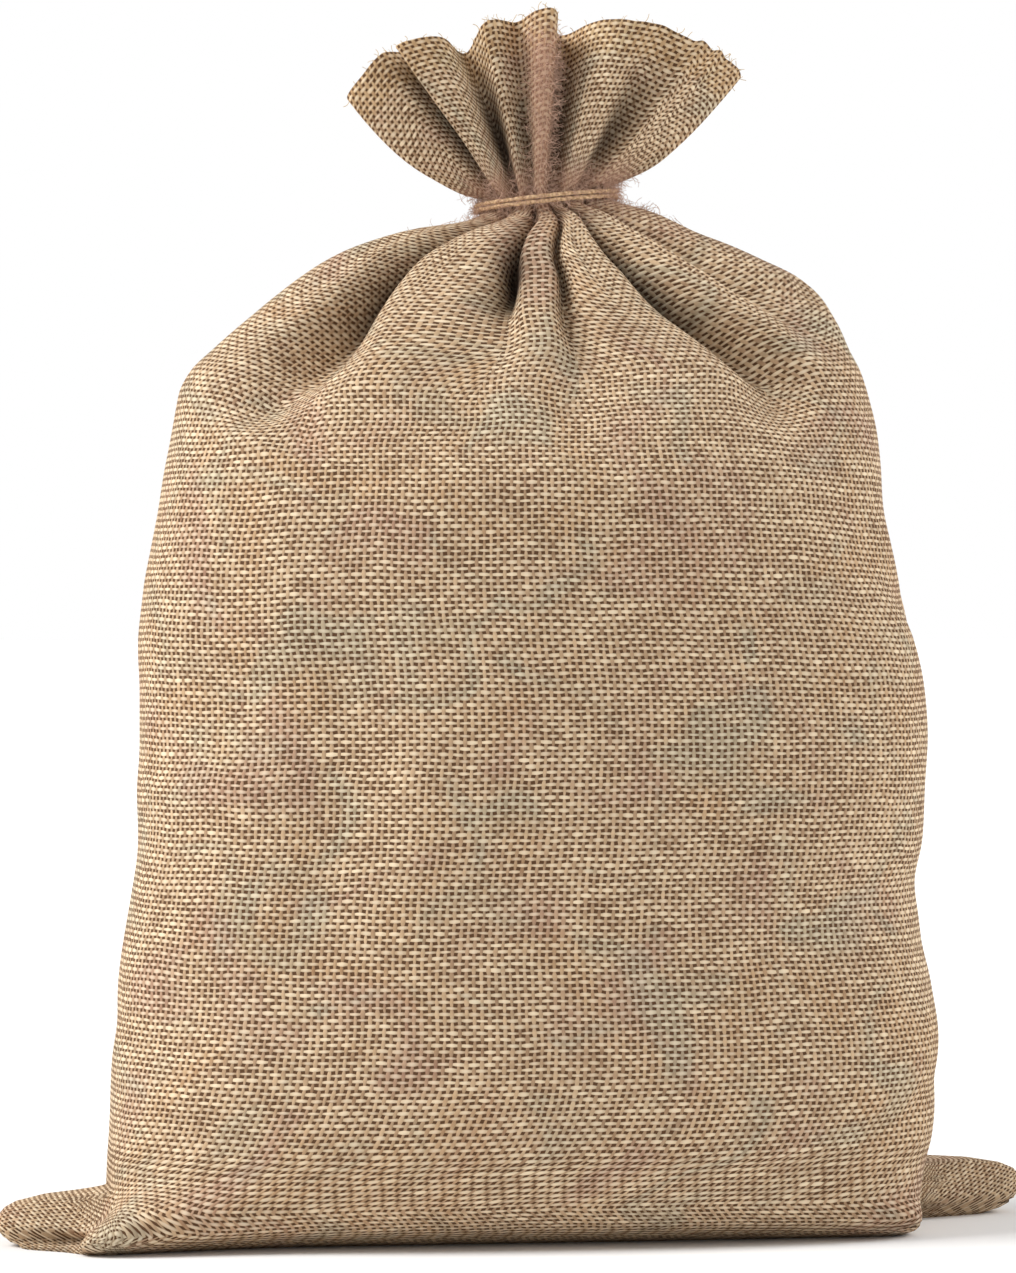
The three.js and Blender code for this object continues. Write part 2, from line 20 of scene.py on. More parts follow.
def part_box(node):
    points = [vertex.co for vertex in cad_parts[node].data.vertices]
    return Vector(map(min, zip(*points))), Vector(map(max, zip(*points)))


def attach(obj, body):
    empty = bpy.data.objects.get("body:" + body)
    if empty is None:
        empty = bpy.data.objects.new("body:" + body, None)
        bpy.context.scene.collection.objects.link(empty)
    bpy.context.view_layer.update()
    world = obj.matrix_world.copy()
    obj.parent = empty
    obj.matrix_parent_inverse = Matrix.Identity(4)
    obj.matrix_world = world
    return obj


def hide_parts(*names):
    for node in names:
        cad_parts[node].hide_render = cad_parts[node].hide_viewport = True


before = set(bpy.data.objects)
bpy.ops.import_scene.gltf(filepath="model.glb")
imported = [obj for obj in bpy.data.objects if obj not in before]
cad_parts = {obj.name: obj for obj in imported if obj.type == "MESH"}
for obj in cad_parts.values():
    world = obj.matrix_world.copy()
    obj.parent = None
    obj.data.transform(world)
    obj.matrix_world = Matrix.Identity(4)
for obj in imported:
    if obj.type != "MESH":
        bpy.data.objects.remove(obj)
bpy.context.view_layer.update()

LOG = logging.getLogger("sack")
MM = 0.001
TAU = math.tau
BACK, FRONT = 0.25, 0.75  # places of the middle of the back and of the front

MATH = "ShaderNodeMath"
VECTOR = "ShaderNodeVectorMath"
NOISE = "ShaderNodeTexNoise"
RANGE = "ShaderNodeMapRange"  # its inputs: a value, the two ends it comes from and the two it goes to
MIX = "ShaderNodeMix"


class Level(NamedTuple):
    """One level of the bag: reaches from its axis, squareness, and how far its ears' fronts recede."""

    z: float
    left: float
    right: float
    front: float
    back: float
    square: float
    groove: float = 0


class Fold(NamedTuple):
    """A fold line below the tie: place round the cloth, angle at the neck, a valley's depths at the five
    depth heights, and how many degrees it wanders from the plain gather at the first four."""

    around: float
    angle: float
    depths: tuple[float, ...] | None = None
    wander: tuple[float, ...] = (0, 0, 0, 0)


class Dent(NamedTuple):
    """A soft trough (positive depth) or swell of the body, along a line tilted from level."""

    around: float
    z: float
    along: float
    across: float
    tilt: float
    depth: float


class Rim(NamedTuple):
    """A place on the rim of the ruffle, with the angle where its cloth leaves the neck."""

    around: float
    x: float
    y: float
    z: float
    angle: float
    core: float
    pleat: float = 0
    tuck: float = 0
    sag: float = 0


LEVELS = tuple(Level(*row) for row in (
    (0, 152, 148, 52, 62, 4.2, 5),
    (3, 157, 153, 63, 71, 3.9, 6),
    (8, 160, 156, 73, 78, 3.6, 1),
    (14, 161, 158, 79.5, 83, 3.35, 4),
    (18.5, 161.5, 160, 82.5, 85, 3.2, 8),
    (21, 161.5, 161, 84, 86, 3.12, 9),
    (22.5, 161.5, 161.5, 85, 86.5, 3.08, 9),
    (25.5, 161.5, 162.5, 86, 87, 3, 9),
    (38, 161, 166, 89, 89, 2.75),
    (58, 160, 168.5, 90, 90, 2.55),
    (77, 159, 169.5, 90.5, 91, 2.42),
    (97, 157, 167, 90.5, 91, 2.3),
    (116, 154.5, 163, 90, 91, 2.3),
    (136, 152, 162, 90, 91, 2.3),
    (155, 149.5, 164, 90, 91, 2.3),
    (175, 148.5, 165, 90, 91, 2.3),
    (194, 147.5, 166, 90, 91, 2.3),
    (214, 147.5, 164.5, 90.5, 91, 2.3),
    (233, 148.5, 161.5, 91, 91, 2.3),
    (253, 147, 155.5, 92, 91, 2.25),
    (272, 144, 150.5, 93.5, 90, 2.25),
    (288, 141.5, 147.5, 94, 88, 2.2),
    (300, 140, 146.5, 91.5, 85.5, 2.2),
    (313, 138, 145, 86, 82, 2.15),
    (331, 135.5, 141.5, 76.5, 75, 2.1),
    (340, 131, 139, 71.5, 71, 2.1),
    (350, 120.5, 134.5, 66, 66, 2),
    (360, 109, 130.5, 60, 60, 2),
    (370, 97.5, 125.5, 53.5, 54, 2),
    (379, 86, 116.5, 47, 48, 2),
    (387, 73, 100.5, 40.5, 42, 2),
    (394, 53.5, 83.5, 34, 36, 2),
    (399, 33.5, 67.5, 28.5, 30, 2),
    (402.3, 21.5, 55, 24, 25, 2),
    (404.3, 17, 46, 22, 22.5, 2),
    (406.3, 13.5, 39.5, 22, 22.5, 2),
))
DEPTH_HEIGHTS = (312.0, 335.0, 360.0, 385.0, 404.0)

NECK_TOP = LEVELS[-1]
FOLDS = tuple(Fold(*row) for row in (
    (0.03, -8, (0, 4, 9, 12, 6)),
    (0.09, 14),
    (0.15, 36, (0, 8, 15, 15, 7)),
    (0.21, 58),
    (0.27, 86, (4, 12, 18, 16, 7)),
    (0.33, 110),
    (0.39, 136, (0, 8, 16, 14, 7)),
    (0.44, 158),
    (0.475, 178, (0, 2, 5, 9, 6)),
    (0.525, 202),
    (0.615, 226, (0, 13, 22, 20, 8), (-8, -6, -4, -1)),
    (0.7, 243, None, (-22, -17, -11, -1)),
    (0.735, 252, (1.5, 3.5, 8, 20, 9), (-8, -6, 0, 6)),
    (0.757, 258, None, (-6, -5, -1, 3)),
    (0.779, 267, (1.5, 5, 8, 10, 5), (-5, -3, -2, 2)),
    (0.84, 272, None, (-4, -2, -2, 1)),
    (0.905, 279, (1, 13, 22, 21, 9), (-7, -3, 1, 8)),
    (0.93, 288, None, (-4, 0, 4, 8)),
    (0.945, 297, (0, 0, 2.5, 6, 5), (-2, 0, 4, 8)),
    (0.968, 328, None, (0, 0, 6, 3)),
))
FOLD_PLACES = np.array([fold.around for fold in FOLDS])

DENTS = tuple(Dent(*row) for row in (
    (0.6, 328, 16, 9, 0, 4),
    (0.6, 311, 26, 6, -15, -3),
    (0.71, 344, 26, 20, 0, -3),
    (0.968, 372, 10, 4, 30, 4),
    (0.645, 200, 105, 22, 86, 3.2),
    (0.585, 214, 26, 26, 0, 3.5),
    (0.575, 178, 40, 8, 4, -2.5),
    (0.58, 58, 45, 9, -14, -3),
    (0.925, 46, 45, 8, 18, 3.2),
    (0.86, 225, 30, 30, 0, 2.5),
    (0.93, 130, 60, 12, 12, 2.2),
    (0.97, 245, 50, 12, -40, 2.6),
    (0.08, 190, 80, 20, 80, 4),
    (0.17, 80, 60, 14, -20, 3.5),
    (0.24, 240, 90, 18, 20, 3.5),
    (0.33, 130, 90, 22, 75, 3.5),
    (0.42, 235, 60, 16, 60, 4),
    (0.44, 70, 50, 12, 15, 3.5),
))

RIM = tuple(Rim(*row) for row in (
    (0.008, 88.74, 7, 460, 1, 2, 1, 0, 5),
    (0.034, 78.54, 11, 462, 13, 12, 5),
    (0.09, 69.36, 30, 465, 30, 30),
    (0.15, 46.92, 12, 467, 48, 48, 5),
    (0.21, 34.68, 40, 470, 66, 66),
    (0.27, 14.28, 14, 470, 84, 84, 5),
    (0.33, -4.08, 39, 469, 102, 102),
    (0.39, -22.44, 13, 466, 121, 124, 5),
    (0.44, -42.84, 28, 461, 142, 153),
    (0.475, -48.96, 10, 456, 161, 160, 4, 0, 4),
    (0.525, -67.32, -5, 448, 184, 165, 0, 0, 9),
    (0.558, -56.1, -19, 463, 198, 170, 0, 0, 4),
    (0.577, -42.84, -8, 466, 204, 175, 5),
    (0.592, -37.74, -12, 466, 210, 180, 5),
    (0.612, -51, -29, 465.5, 217, 187),
    (0.628, -39.78, -35, 470.8, 222, 190),
    (0.645, -30.6, -30, 468.5, 227, 194),
    (0.668, -20.4, -8, 467, 232, 199, 6),
    (0.7, -14.28, -22, 477.5, 240, 214),
    (0.73, 0, -13, 478, 249, 233, 4),
    (0.744, 5.61, -22, 481, 254, 243),
    (0.76, 13.26, -23, 481.5, 261, 256),
    (0.778, 18.36, 1, 474, 269, 268, 5),
    (0.81, 31.62, -21, 478, 280, 283),
    (0.84, 45.9, -28, 478.5, 288, 293),
    (0.872, 59.16, -24, 476, 298, 305, 4, 6),
    (0.905, 71.4, -24, 470, 312, 320),
    (0.945, 82.62, -14, 466, 330, 335),
    (0.968, 88.5, -7, 463.5, 343, 345, 0, 0, 2),
    (0.99, 91.5, 0, 459, 354, 355, 0, 0, 5),
))


class Ear(NamedTuple):
    """A floor corner laid flat as an ear: its way along x, reach, top, and place and lean along y."""

    way: int
    reach: float
    top: float
    y: float
    lean: float


class Toe(NamedTuple):
    """A front corner of the base pushed out along the floor: its angle and reach."""

    angle: float
    x: float
    y: float


class Side(Enum):
    """What each side of the bag has on the floor."""

    LEFT = (Ear(-1, 44.5, 19.0, -20.0, -8.0), Toe(219, -38.0, -26.0))
    RIGHT = (Ear(1, 55.0, 23.0, 18.0, 10.0), Toe(322, 14.0, -8.0))


def srgb(code: str) -> tuple[float, float, float, float]:
    """Turn an sRGB hex colour to linear.

    Args:
        code: Six hex digits.

    Returns:
        Linear red, green and blue, and an alpha of one.
    """
    parts = [int(code[i : i + 2], 16) / 255 for i in (0, 2, 4)]
    return (*[p / 12.92 if p <= 0.04045 else ((p + 0.055) / 1.055) ** 2.4 for p in parts], 1.0)


def ease(start: float, end: float, value: Any) -> Array:
    """Smooth step of a value between two ends, where the end may lie below the start."""
    t = np.clip((np.asarray(value, float) - start) / (end - start), 0, 1)
    return t * t * (3 - 2 * t)


def mix(a: Any, b: Any, share: Any) -> Any:
    """The value at a share of the way from a to b."""
    return a + (b - a) * share


def bell(offset: Any, width: Any, power: float = 2) -> Any:
    """One in the middle, falling to near zero beyond the width."""
    return np.exp(-((offset / width) ** power))


def running(steps: Array, axis: int = -1) -> Array:
    """Sums of the steps so far, from zero."""
    return np.cumsum(np.insert(steps, 0, 0, axis=axis), axis=axis)


def nearest(values: Array, wanted: float) -> int:
    """Index of the value nearest to the wanted one."""
    return int(np.argmin(np.abs(values - wanted)))


def cell_middles(places: Array) -> Array:
    """Places of the middles of the cells that start at the columns."""
    return (places + np.append(places[1:], 1 + places[0])) / 2


def curve(xs: Array, ys: Array, slopes: Array, x: Array) -> Array:
    """Values at x of the smooth curve through the points (xs, ys) with the given slopes."""
    i = np.clip(np.searchsorted(xs, x, side="right") - 1, 0, len(xs) - 2)
    gap = xs[i + 1] - xs[i]
    t = np.clip((x - xs[i]) / gap, 0, 1)
    turn = gap * t * (1 - t) * (slopes[i] * (1 - t) - slopes[i + 1] * t)
    return mix(ys[i], ys[i + 1], ease(0, 1, t)) + turn


def glide(xs: Any, ys: Any, x: Any) -> Array:
    """Interpolate a table smoothly, with no overshoot.

    Args:
        xs: Rising places of the rows.
        ys: Values of the rows.
        x: Places to look up.

    Returns:
        Values at those places.
    """
    xs, ys, x = np.asarray(xs, float), np.asarray(ys, float), np.asarray(x, float)
    rates = np.diff(ys) / np.diff(xs)
    both = rates[1:] * rates[:-1]
    slopes = np.concatenate([rates[:1], np.zeros(len(xs) - 2), rates[-1:]])
    slopes[1:-1] = np.where(both > 0, 2 * both / np.where(both > 0, rates[1:] + rates[:-1], 1), 0)
    return curve(xs, ys, slopes, x)


def unit(vectors: Array) -> Array:
    """The same vectors at length one."""
    return vectors / np.maximum(np.linalg.norm(vectors, axis=-1, keepdims=True), 1e-9)


def along_ring(ring: Array) -> Array:
    """From the point before each one of a closed ring to the point after it."""
    return np.roll(ring, -1, axis=-2) - np.roll(ring, 1, axis=-2)


def ripple(u: Array, v: Array, size: float, seed: int) -> Array:
    """Smooth random bumps.

    Args:
        u: Places along the cloth in millimetres.
        v: Places up the cloth in millimetres.
        size: Spacing of the bumps in millimetres.
        seed: Seed of the random heights.

    Returns:
        Heights from about minus one to one.
    """
    cells = 64
    heights = np.random.default_rng(seed).uniform(-1, 1, (cells, cells))
    a, b = u / size, v / size
    i, j = np.floor(a).astype(int), np.floor(b).astype(int)
    low, high = [
        mix(heights[i % cells, row % cells], heights[(i + 1) % cells, row % cells], ease(0, 1, a - i))
        for row in (j, j + 1)
    ]
    return mix(low, high, ease(0, 1, b - j))


def add(tree: Any, kind: str, links: dict[Any, Any] | tuple[Any, ...] = (), **settings: Any) -> Any:
    """Add a node to a tree.

    Args:
        tree: The node tree.
        kind: The node's type.
        links: A node, an output socket or a plain value for each input, by name or index or in order.
        settings: Properties to set on the node first.

    Returns:
        The new node.
    """
    node = tree.nodes.new(kind)
    for key, value in settings.items():
        setattr(node, key, value)
    for key, value in (links if isinstance(links, dict) else dict(enumerate(links))).items():
        if isinstance(value, bpy.types.Node):
            value = value.outputs[0]
        if isinstance(value, bpy.types.NodeSocket):
            tree.links.new(value, node.inputs[key])
        else:
            node.inputs[key].default_value = value
    return node


def emptied(owner: Any) -> Any:
    """Give a material or a world an empty node tree, and return the tree."""
    owner.use_nodes = True
    owner.node_tree.nodes.clear()
    return owner.node_tree


def linked(name: str, data: Any) -> bpy.types.Object:
    """Make an object and link it to the scene."""
    made = bpy.data.objects.new(name, data)
    bpy.context.scene.collection.objects.link(made)
    return made


def mesh_object(name: str, points: Array, faces: list[tuple[int, ...]]) -> bpy.types.Object:
    """Make a smooth mesh object from points in metres and link it to the scene."""
    mesh = bpy.data.meshes.new(name)
    mesh.from_pydata(points.tolist(), [], faces)
    mesh.update()
    mesh.shade_smooth()
    return linked(name, mesh)


def ring_faces(rings: int, columns: int, closed: bool = False) -> Array:
    """Corners of the faces between rings of points; the last ring meets the first if it is closed."""
    low = np.arange(rings * columns).reshape(rings, columns)
    high = np.roll(low, -1, axis=0)
    corners = [low, np.roll(low, -1, axis=1), np.roll(high, -1, axis=1), high]
    return np.stack(corners, axis=-1)[: rings if closed else rings - 1].reshape(-1, 4)


def corner_uvs(start: Array, end: Array, v: Array) -> Array:
    """UVs of the corners of the faces between rings.

    Args:
        start: u where each cell starts, ring by ring.
        end: u where it ends.
        v: v where it starts.

    Returns:
        An array of rows by cells by four corners by two.
    """
    after = np.roll(v, -1, axis=1)
    u_corners = np.stack([start[:-1], end[:-1], end[1:], start[1:]], axis=-1)
    v_corners = np.stack([v[:-1], after[:-1], after[1:], v[1:]], axis=-1)
    return np.stack([u_corners, v_corners], axis=-1)


@dataclass
class SackForm:
    """The draped shape of the filled bag and its ruffle, in millimetres."""

    columns: int = 392
    front_share: float = 0.58  # share of the columns in the front half
    finest: int = 5  # fewest columns between two fold lines
    cloth_round: float = 788.0  # length of cloth round the bag
    dents_from: float = 30.0  # height above which the body's dents are at full depth
    shelf: float = 297.0  # height where the shoulders start to lean in
    neck: float = 412.0  # top of the tied neck
    gather_from: float = 338.0  # heights between which the cloth turns to its neck angles
    gather_to: float = 386.0
    crest_spread: float = 2.2  # how much of the visible cloth belongs to the crests at the neck
    valley_sharpness: float = 1.35
    ear_half_width: float = 19.0
    ear_middle: float = 0.4  # share of an ear's height where it reaches farthest
    ear_round: float = 3.0
    pull_heights: tuple[float, float] = (70.0, 5.0)  # where the cloth is drawn toward the ears
    toe_height: float = 30.0
    toe_spread: float = 20.0
    body_ripple: float = 1.5  # height of the body's faint unevenness, its size, and where it comes and goes
    ripple_size: float = 36.0
    ripple_in: tuple[float, float] = (20.0, 60.0)
    ripple_out: tuple[float, float] = (380.0, 400.0)
    pleat_depth: float = 1.1  # depth of the fine pleats under the tie, their size, and where they come and go
    pleat_size: float = 9.0
    pleat_in: tuple[float, float] = (330.0, 375.0)
    pleat_out: tuple[float, float] = (390.0, 401.0)
    pleat_stretch: float = 0.13  # how much shorter the pleats' pattern is up the cloth
    rim_ripple: float = 1.3  # height of the rim's unevenness, its size, and the share where it starts
    rim_ripple_size: float = 11.0
    rim_ripple_from: float = 0.8
    ruffle_pleat: float = 0.5  # depth of the ruffle's fine pleats, their rows, and the shares where they come
    ruffle_rows: float = 9.0
    ruffle_pleat_in: tuple[float, float] = (0.1, 0.5)
    lobe_sharpness: int = 4
    lobe_from: float = 0.35
    lobe_full: float = 0.75
    cloth: float = 1.5  # thickness of the hemmed mouth
    mouth: tuple[float, float, float, float] = (18.4, 1.5, 26.5, 5.5)  # hollow: x, y, half sizes
    mouth_drop: float = 3.0
    neck_lean: float = 0.105  # rise of the neck's rings toward the right side
    lean_from: float = 396.0
    lean_to: float = 0.4  # share of the ruffle's height where the lean is gone
    rim_height: float = 470.0  # mean height of the rim

    def place_columns(self) -> Array:
        """Places of the columns: each stretch between two fold lines gets its share."""
        places: list[float] = []
        ends = [fold.around for fold in FOLDS[1:]] + [FOLDS[0].around + 1]
        for fold, end in zip(FOLDS, ends):
            front = 0.5 <= (fold.around + end) / 2 < 1
            density = 2 * self.columns * (self.front_share if front else 1 - self.front_share)
            count = max(self.finest, round((end - fold.around) * density))
            places += [mix(fold.around, end, i / count) % 1 for i in range(count)]
        return np.array(sorted(places))

    def folds_at(self, around: Array) -> tuple[Array, Array, Array]:
        """Find the fold lines on either side of each place.

        Args:
            around: Places round the cloth.

        Returns:
            Rows of the crest and of the valley, and the share of the way from crest to valley.
        """
        lines, least = FOLD_PLACES, 1e-9
        start = (np.searchsorted(lines, around + least, side="right") - 1) % len(FOLDS)
        end = (start + 1) % len(FOLDS)
        share = ((around - lines[start] + least) % 1) / ((lines[end] - lines[start]) % 1)
        down = np.array([FOLDS[k].depths is not None for k in end])
        return np.where(down, start, end), np.where(down, end, start), np.where(down, share, 1 - share)

    def ear_share(self, ear: Ear, z: Any) -> Any:
        """Share of an ear's reach at a height: a rounded tip, flat on top."""
        rise = np.minimum(1, np.abs(z / ear.top - self.ear_middle) / (1 - self.ear_middle))
        return (1 - rise**self.ear_round) ** (1 / self.ear_round)

    def section(self, level: dict[str, Any], angle: Array, pull: Any = None) -> tuple[Any, Any]:
        """Points of levels' sections at angles, with the floor corners' lobes.

        Args:
            level: Values of the levels by column name.
            angle: Angles in radians.
            pull: Share of both ears' reach to use in place of their own.

        Returns:
            x and y.
        """
        c, s = np.cos(angle), np.sin(angle)
        power = 2 / level["square"]
        x = (level["right"] - level["left"]) / 2
        y = (level["back"] - level["front"]) / 2
        x = x + (level["left"] + level["right"]) / 2 * np.sign(c) * np.abs(c) ** power
        y = y + (level["front"] + level["back"]) / 2 * np.sign(s) * np.abs(s) ** power
        plain_y = y
        floor = ease(self.toe_height, 0, level["z"])
        for side in Side:
            ear, toe = side.value
            off = plain_y - ear.y
            half = self.ear_half_width - np.where(off < 0, level["groove"], 0)
            share = self.ear_share(ear, level["z"]) if pull is None else pull
            lobe = bell(off, half, self.lobe_sharpness)
            lobe = lobe * ease(self.lobe_from, self.lobe_full, ear.way * c) * share
            push = bell(np.degrees(angle) % 360 - toe.angle, self.toe_spread) * floor
            x, y = x + ear.way * ear.reach * lobe + toe.x * push, y + ear.lean * lobe + toe.y * push
        return x, y

    def levels(self, heights: Array) -> dict[str, Array]:
        """Smoothly interpolated values of the level table at heights, by column name."""
        known = [level.z for level in LEVELS]
        return {n: glide(known, [getattr(lv, n) for lv in LEVELS], heights) for n in Level._fields}

    def hull_angles(self, level: dict[str, float], places: Array) -> Array:
        """Section angles of places, by length of outline with the side seams held.

        Args:
            level: Values of one level.
            places: Places round the cloth.

        Returns:
            Angles in radians.
        """
        steps = 720
        turn = np.linspace(0, TAU, steps + 1)
        x, y = self.section(level, turn, ease(*self.pull_heights, level["z"]))
        length = running(np.hypot(np.diff(x), np.diff(y)))
        half = length[steps // 2]
        front = half + (places * 2 - 1) * (length[-1] - half)
        wanted = np.where(places < 0.5, places * 2 * half, front)
        return np.interp(wanted, length, turn)

    def wander(self, places: Array, heights: Array) -> Array:
        """How far the fold lines stray from the plain gather, in radians, by height and place."""
        crest, valley, share = self.folds_at(places)
        known = [self.shelf, *DEPTH_HEIGHTS]
        lines = [glide(known, [0, *fold.wander, 0], heights) for fold in FOLDS]
        table = np.radians(np.stack(lines, axis=1))
        part = mix(share, self.spread(share), self.gathered(heights)[:, None])
        return mix(table[:, crest], table[:, valley], part)

    def gathered(self, heights: Array) -> Array:
        """How far the cloth has turned to its neck angles, at heights."""
        return ease(self.gather_from, self.gather_to, heights)

    def spread(self, share: Array) -> Array:
        """Share of the angle from crest to valley at the neck, where the crests keep their cloth."""
        return (1 + self.crest_spread) * share / (1 + self.crest_spread * share)

    def neck_angles(self, places: Array) -> Array:
        """Angles round the neck: crests keep their cloth and valleys take up the rest."""
        crest, valley, share = self.folds_at(places)
        angles = np.array([fold.angle for fold in FOLDS], float)
        turn = (angles[valley] - angles[crest] + 540) % 360 - 180
        angle = np.radians(angles[crest] + turn * self.spread(share))
        return angle + TAU * np.round((places * TAU - angle) / TAU)

    def fold_depths(self, places: Array, heights: Array) -> Array:
        """Depths of the folds, one row for each height and one column for each place."""
        _, valley, share = self.folds_at(places)
        known = [self.shelf, *DEPTH_HEIGHTS, self.neck]
        depths = np.zeros((len(heights), len(FOLDS)))
        for k, fold in enumerate(FOLDS):
            if fold.depths is not None:
                depths[:, k] = glide(known, [0, *fold.depths, 0], heights)
        shape = (1 - np.cos(np.pi * share**self.valley_sharpness)) / 2
        return depths[:, valley] * shape

    def dent_depths(self, places: Array, heights: Array) -> Array:
        """Depths of the body's soft dents, creases and small bumps."""
        around, z = np.meshgrid(places, heights)
        total = np.zeros_like(z)
        for dent in DENTS:
            aside = ((around - dent.around + 0.5) % 1 - 0.5) * self.cloth_round
            rise = z - dent.z
            c, s = math.cos(math.radians(dent.tilt)), math.sin(math.radians(dent.tilt))
            u, v = (aside * c + rise * s) / dent.along, (rise * c - aside * s) / dent.across
            total += dent.depth * np.exp(-u * u - v * v)
        return total * ease(0, self.dents_from, z)

    def small_creases(self, places: Array, heights: Array) -> Array:
        """Depths of the body's faint unevenness and of the fine pleats that run down from the tie."""
        around, z = np.meshgrid(places * self.cloth_round, heights)
        body = self.body_ripple * ripple(around, z, self.ripple_size, seed=5) * ease(*self.ripple_in, z)
        fine = ripple(around, z * self.pleat_stretch, self.pleat_size, seed=8)
        near = ease(*self.pleat_in, z) * (1 - ease(*self.pleat_out, z))
        return body * (1 - ease(*self.ripple_out, z)) + self.pleat_depth * fine * near

    def bag(self, places: Array, heights: Array) -> Array:
        """Rings of the filled bag from the floor to the neck.

        Args:
            places: Places of the columns.
            heights: Heights of the rings.

        Returns:
            Points, ring by ring.
        """
        table = self.levels(heights)
        rows = [{name: values[i] for name, values in table.items()} for i in range(len(heights))]
        by_length = np.stack([self.hull_angles(row, places) for row in rows])
        neck = self.neck_angles(places)
        angles = mix(by_length, neck, self.gathered(heights)[:, None]) + self.wander(places, heights)
        x, y = self.section({name: values[:, None] for name, values in table.items()}, angles)
        hull = np.stack([x, y, np.broadcast_to(heights[:, None], x.shape)], axis=-1)
        rise = np.gradient(hull, axis=0)
        outward = unit(np.cross(along_ring(hull), rise))
        depth = self.fold_depths(places, heights) + self.dent_depths(places, heights)
        depth += self.small_creases(places, heights)
        rings = hull - outward * depth[..., None]
        rings[..., 2] += self.lean(rings[..., 0]) * ease(self.lean_from, NECK_TOP.z, heights)[:, None]
        return rings

    def lean(self, x: Array) -> Array:
        """Rise of the leaning neck at an x."""
        return self.neck_lean * (x - (NECK_TOP.right - NECK_TOP.left) / 2)

    def rim_values(self, name: str, places: Array, turn: float = 0) -> Array:
        """A column of the rim table on a smooth closed curve.

        Args:
            name: The column.
            places: Places round the cloth.
            turn: What the column gains in a whole turn.

        Returns:
            Values at the places.
        """
        around = np.array([row.around for row in RIM])
        values = np.array([getattr(row, name) for row in RIM], float)
        wide = np.concatenate([around - 1, around, around + 1])
        tall = np.concatenate([values - turn, values, values + turn])
        slopes = np.zeros_like(tall)
        slopes[1:-1] = (tall[2:] - tall[:-2]) / (wide[2:] - wide[:-2])
        return curve(wide, tall, slopes, places)

    def ruffle(self, places: Array, shares: Array) -> Array:
        """Rings of the ruffle, from the top of the neck (share 0) to the rim (share 1)."""
        angle = np.radians(self.rim_values("angle", places, 360))
        x, y = self.section(NECK_TOP._asdict(), angle)
        pleat = np.maximum(0, self.rim_values("pleat", places))
        neck = [x - pleat * np.cos(angle), y - pleat * np.sin(angle), np.full_like(x, self.neck)]
        start = np.stack(neck, axis=-1)
        end = np.stack([self.rim_values(name, places) for name in ("x", "y", "z")], axis=-1)
        share = shares[:, None]
        rings = mix(start, end, share[..., None])
        swing = 4 * share * (1 - share)
        rings[..., 1] += self.rim_values("tuck", places) * swing
        rings[..., 2] -= self.rim_values("sag", places) * swing
        rings[..., 2] += self.lean(x) * (1 - ease(0, self.lean_to, share))
        around = places[None, :] * self.cloth_round
        uneven = self.rim_ripple * ripple(around, 0 * share, self.rim_ripple_size, seed=3)
        rings[..., 2] += uneven * ease(self.rim_ripple_from, 1, share)
        fine = ripple(around, share * self.ruffle_rows, self.pleat_size, seed=12)
        away = unit(end[:, :2] - start[:, :2])
        rings[..., :2] += away * (self.ruffle_pleat * fine * ease(*self.ruffle_pleat_in, share))[..., None]
        return rings

    def mouth_ring(self, places: Array) -> Array:
        """Plan of the plain hollow's ring, as x and y."""
        angle = np.radians(self.rim_values("core", places, 360))
        x, y, half_x, half_y = self.mouth
        return np.stack([x + half_x * np.cos(angle), y + half_y * np.sin(angle)], axis=-1)

    def inside(self, places: Array, shares: Array, closed: Array) -> Array:
        """Rings down the inside of the ruffle, which close up to a plain hollow.

        Args:
            places: Places of the columns.
            shares: Share of the height of each ring.
            closed: How far the pleats have closed up at each ring.

        Returns:
            Points, ring by ring.
        """
        rings = self.ruffle(places, shares)
        along = along_ring(rings)
        inward = unit(np.stack([-along[..., 1], along[..., 0], np.zeros_like(along[..., 0])], axis=-1))
        rings = rings + inward * self.cloth
        hollow = np.empty_like(rings)
        hollow[..., :2] = self.mouth_ring(places)
        hollow[..., 2] = mix(self.neck, self.rim_height, shares)[:, None]
        return mix(rings, hollow, closed[:, None, None])


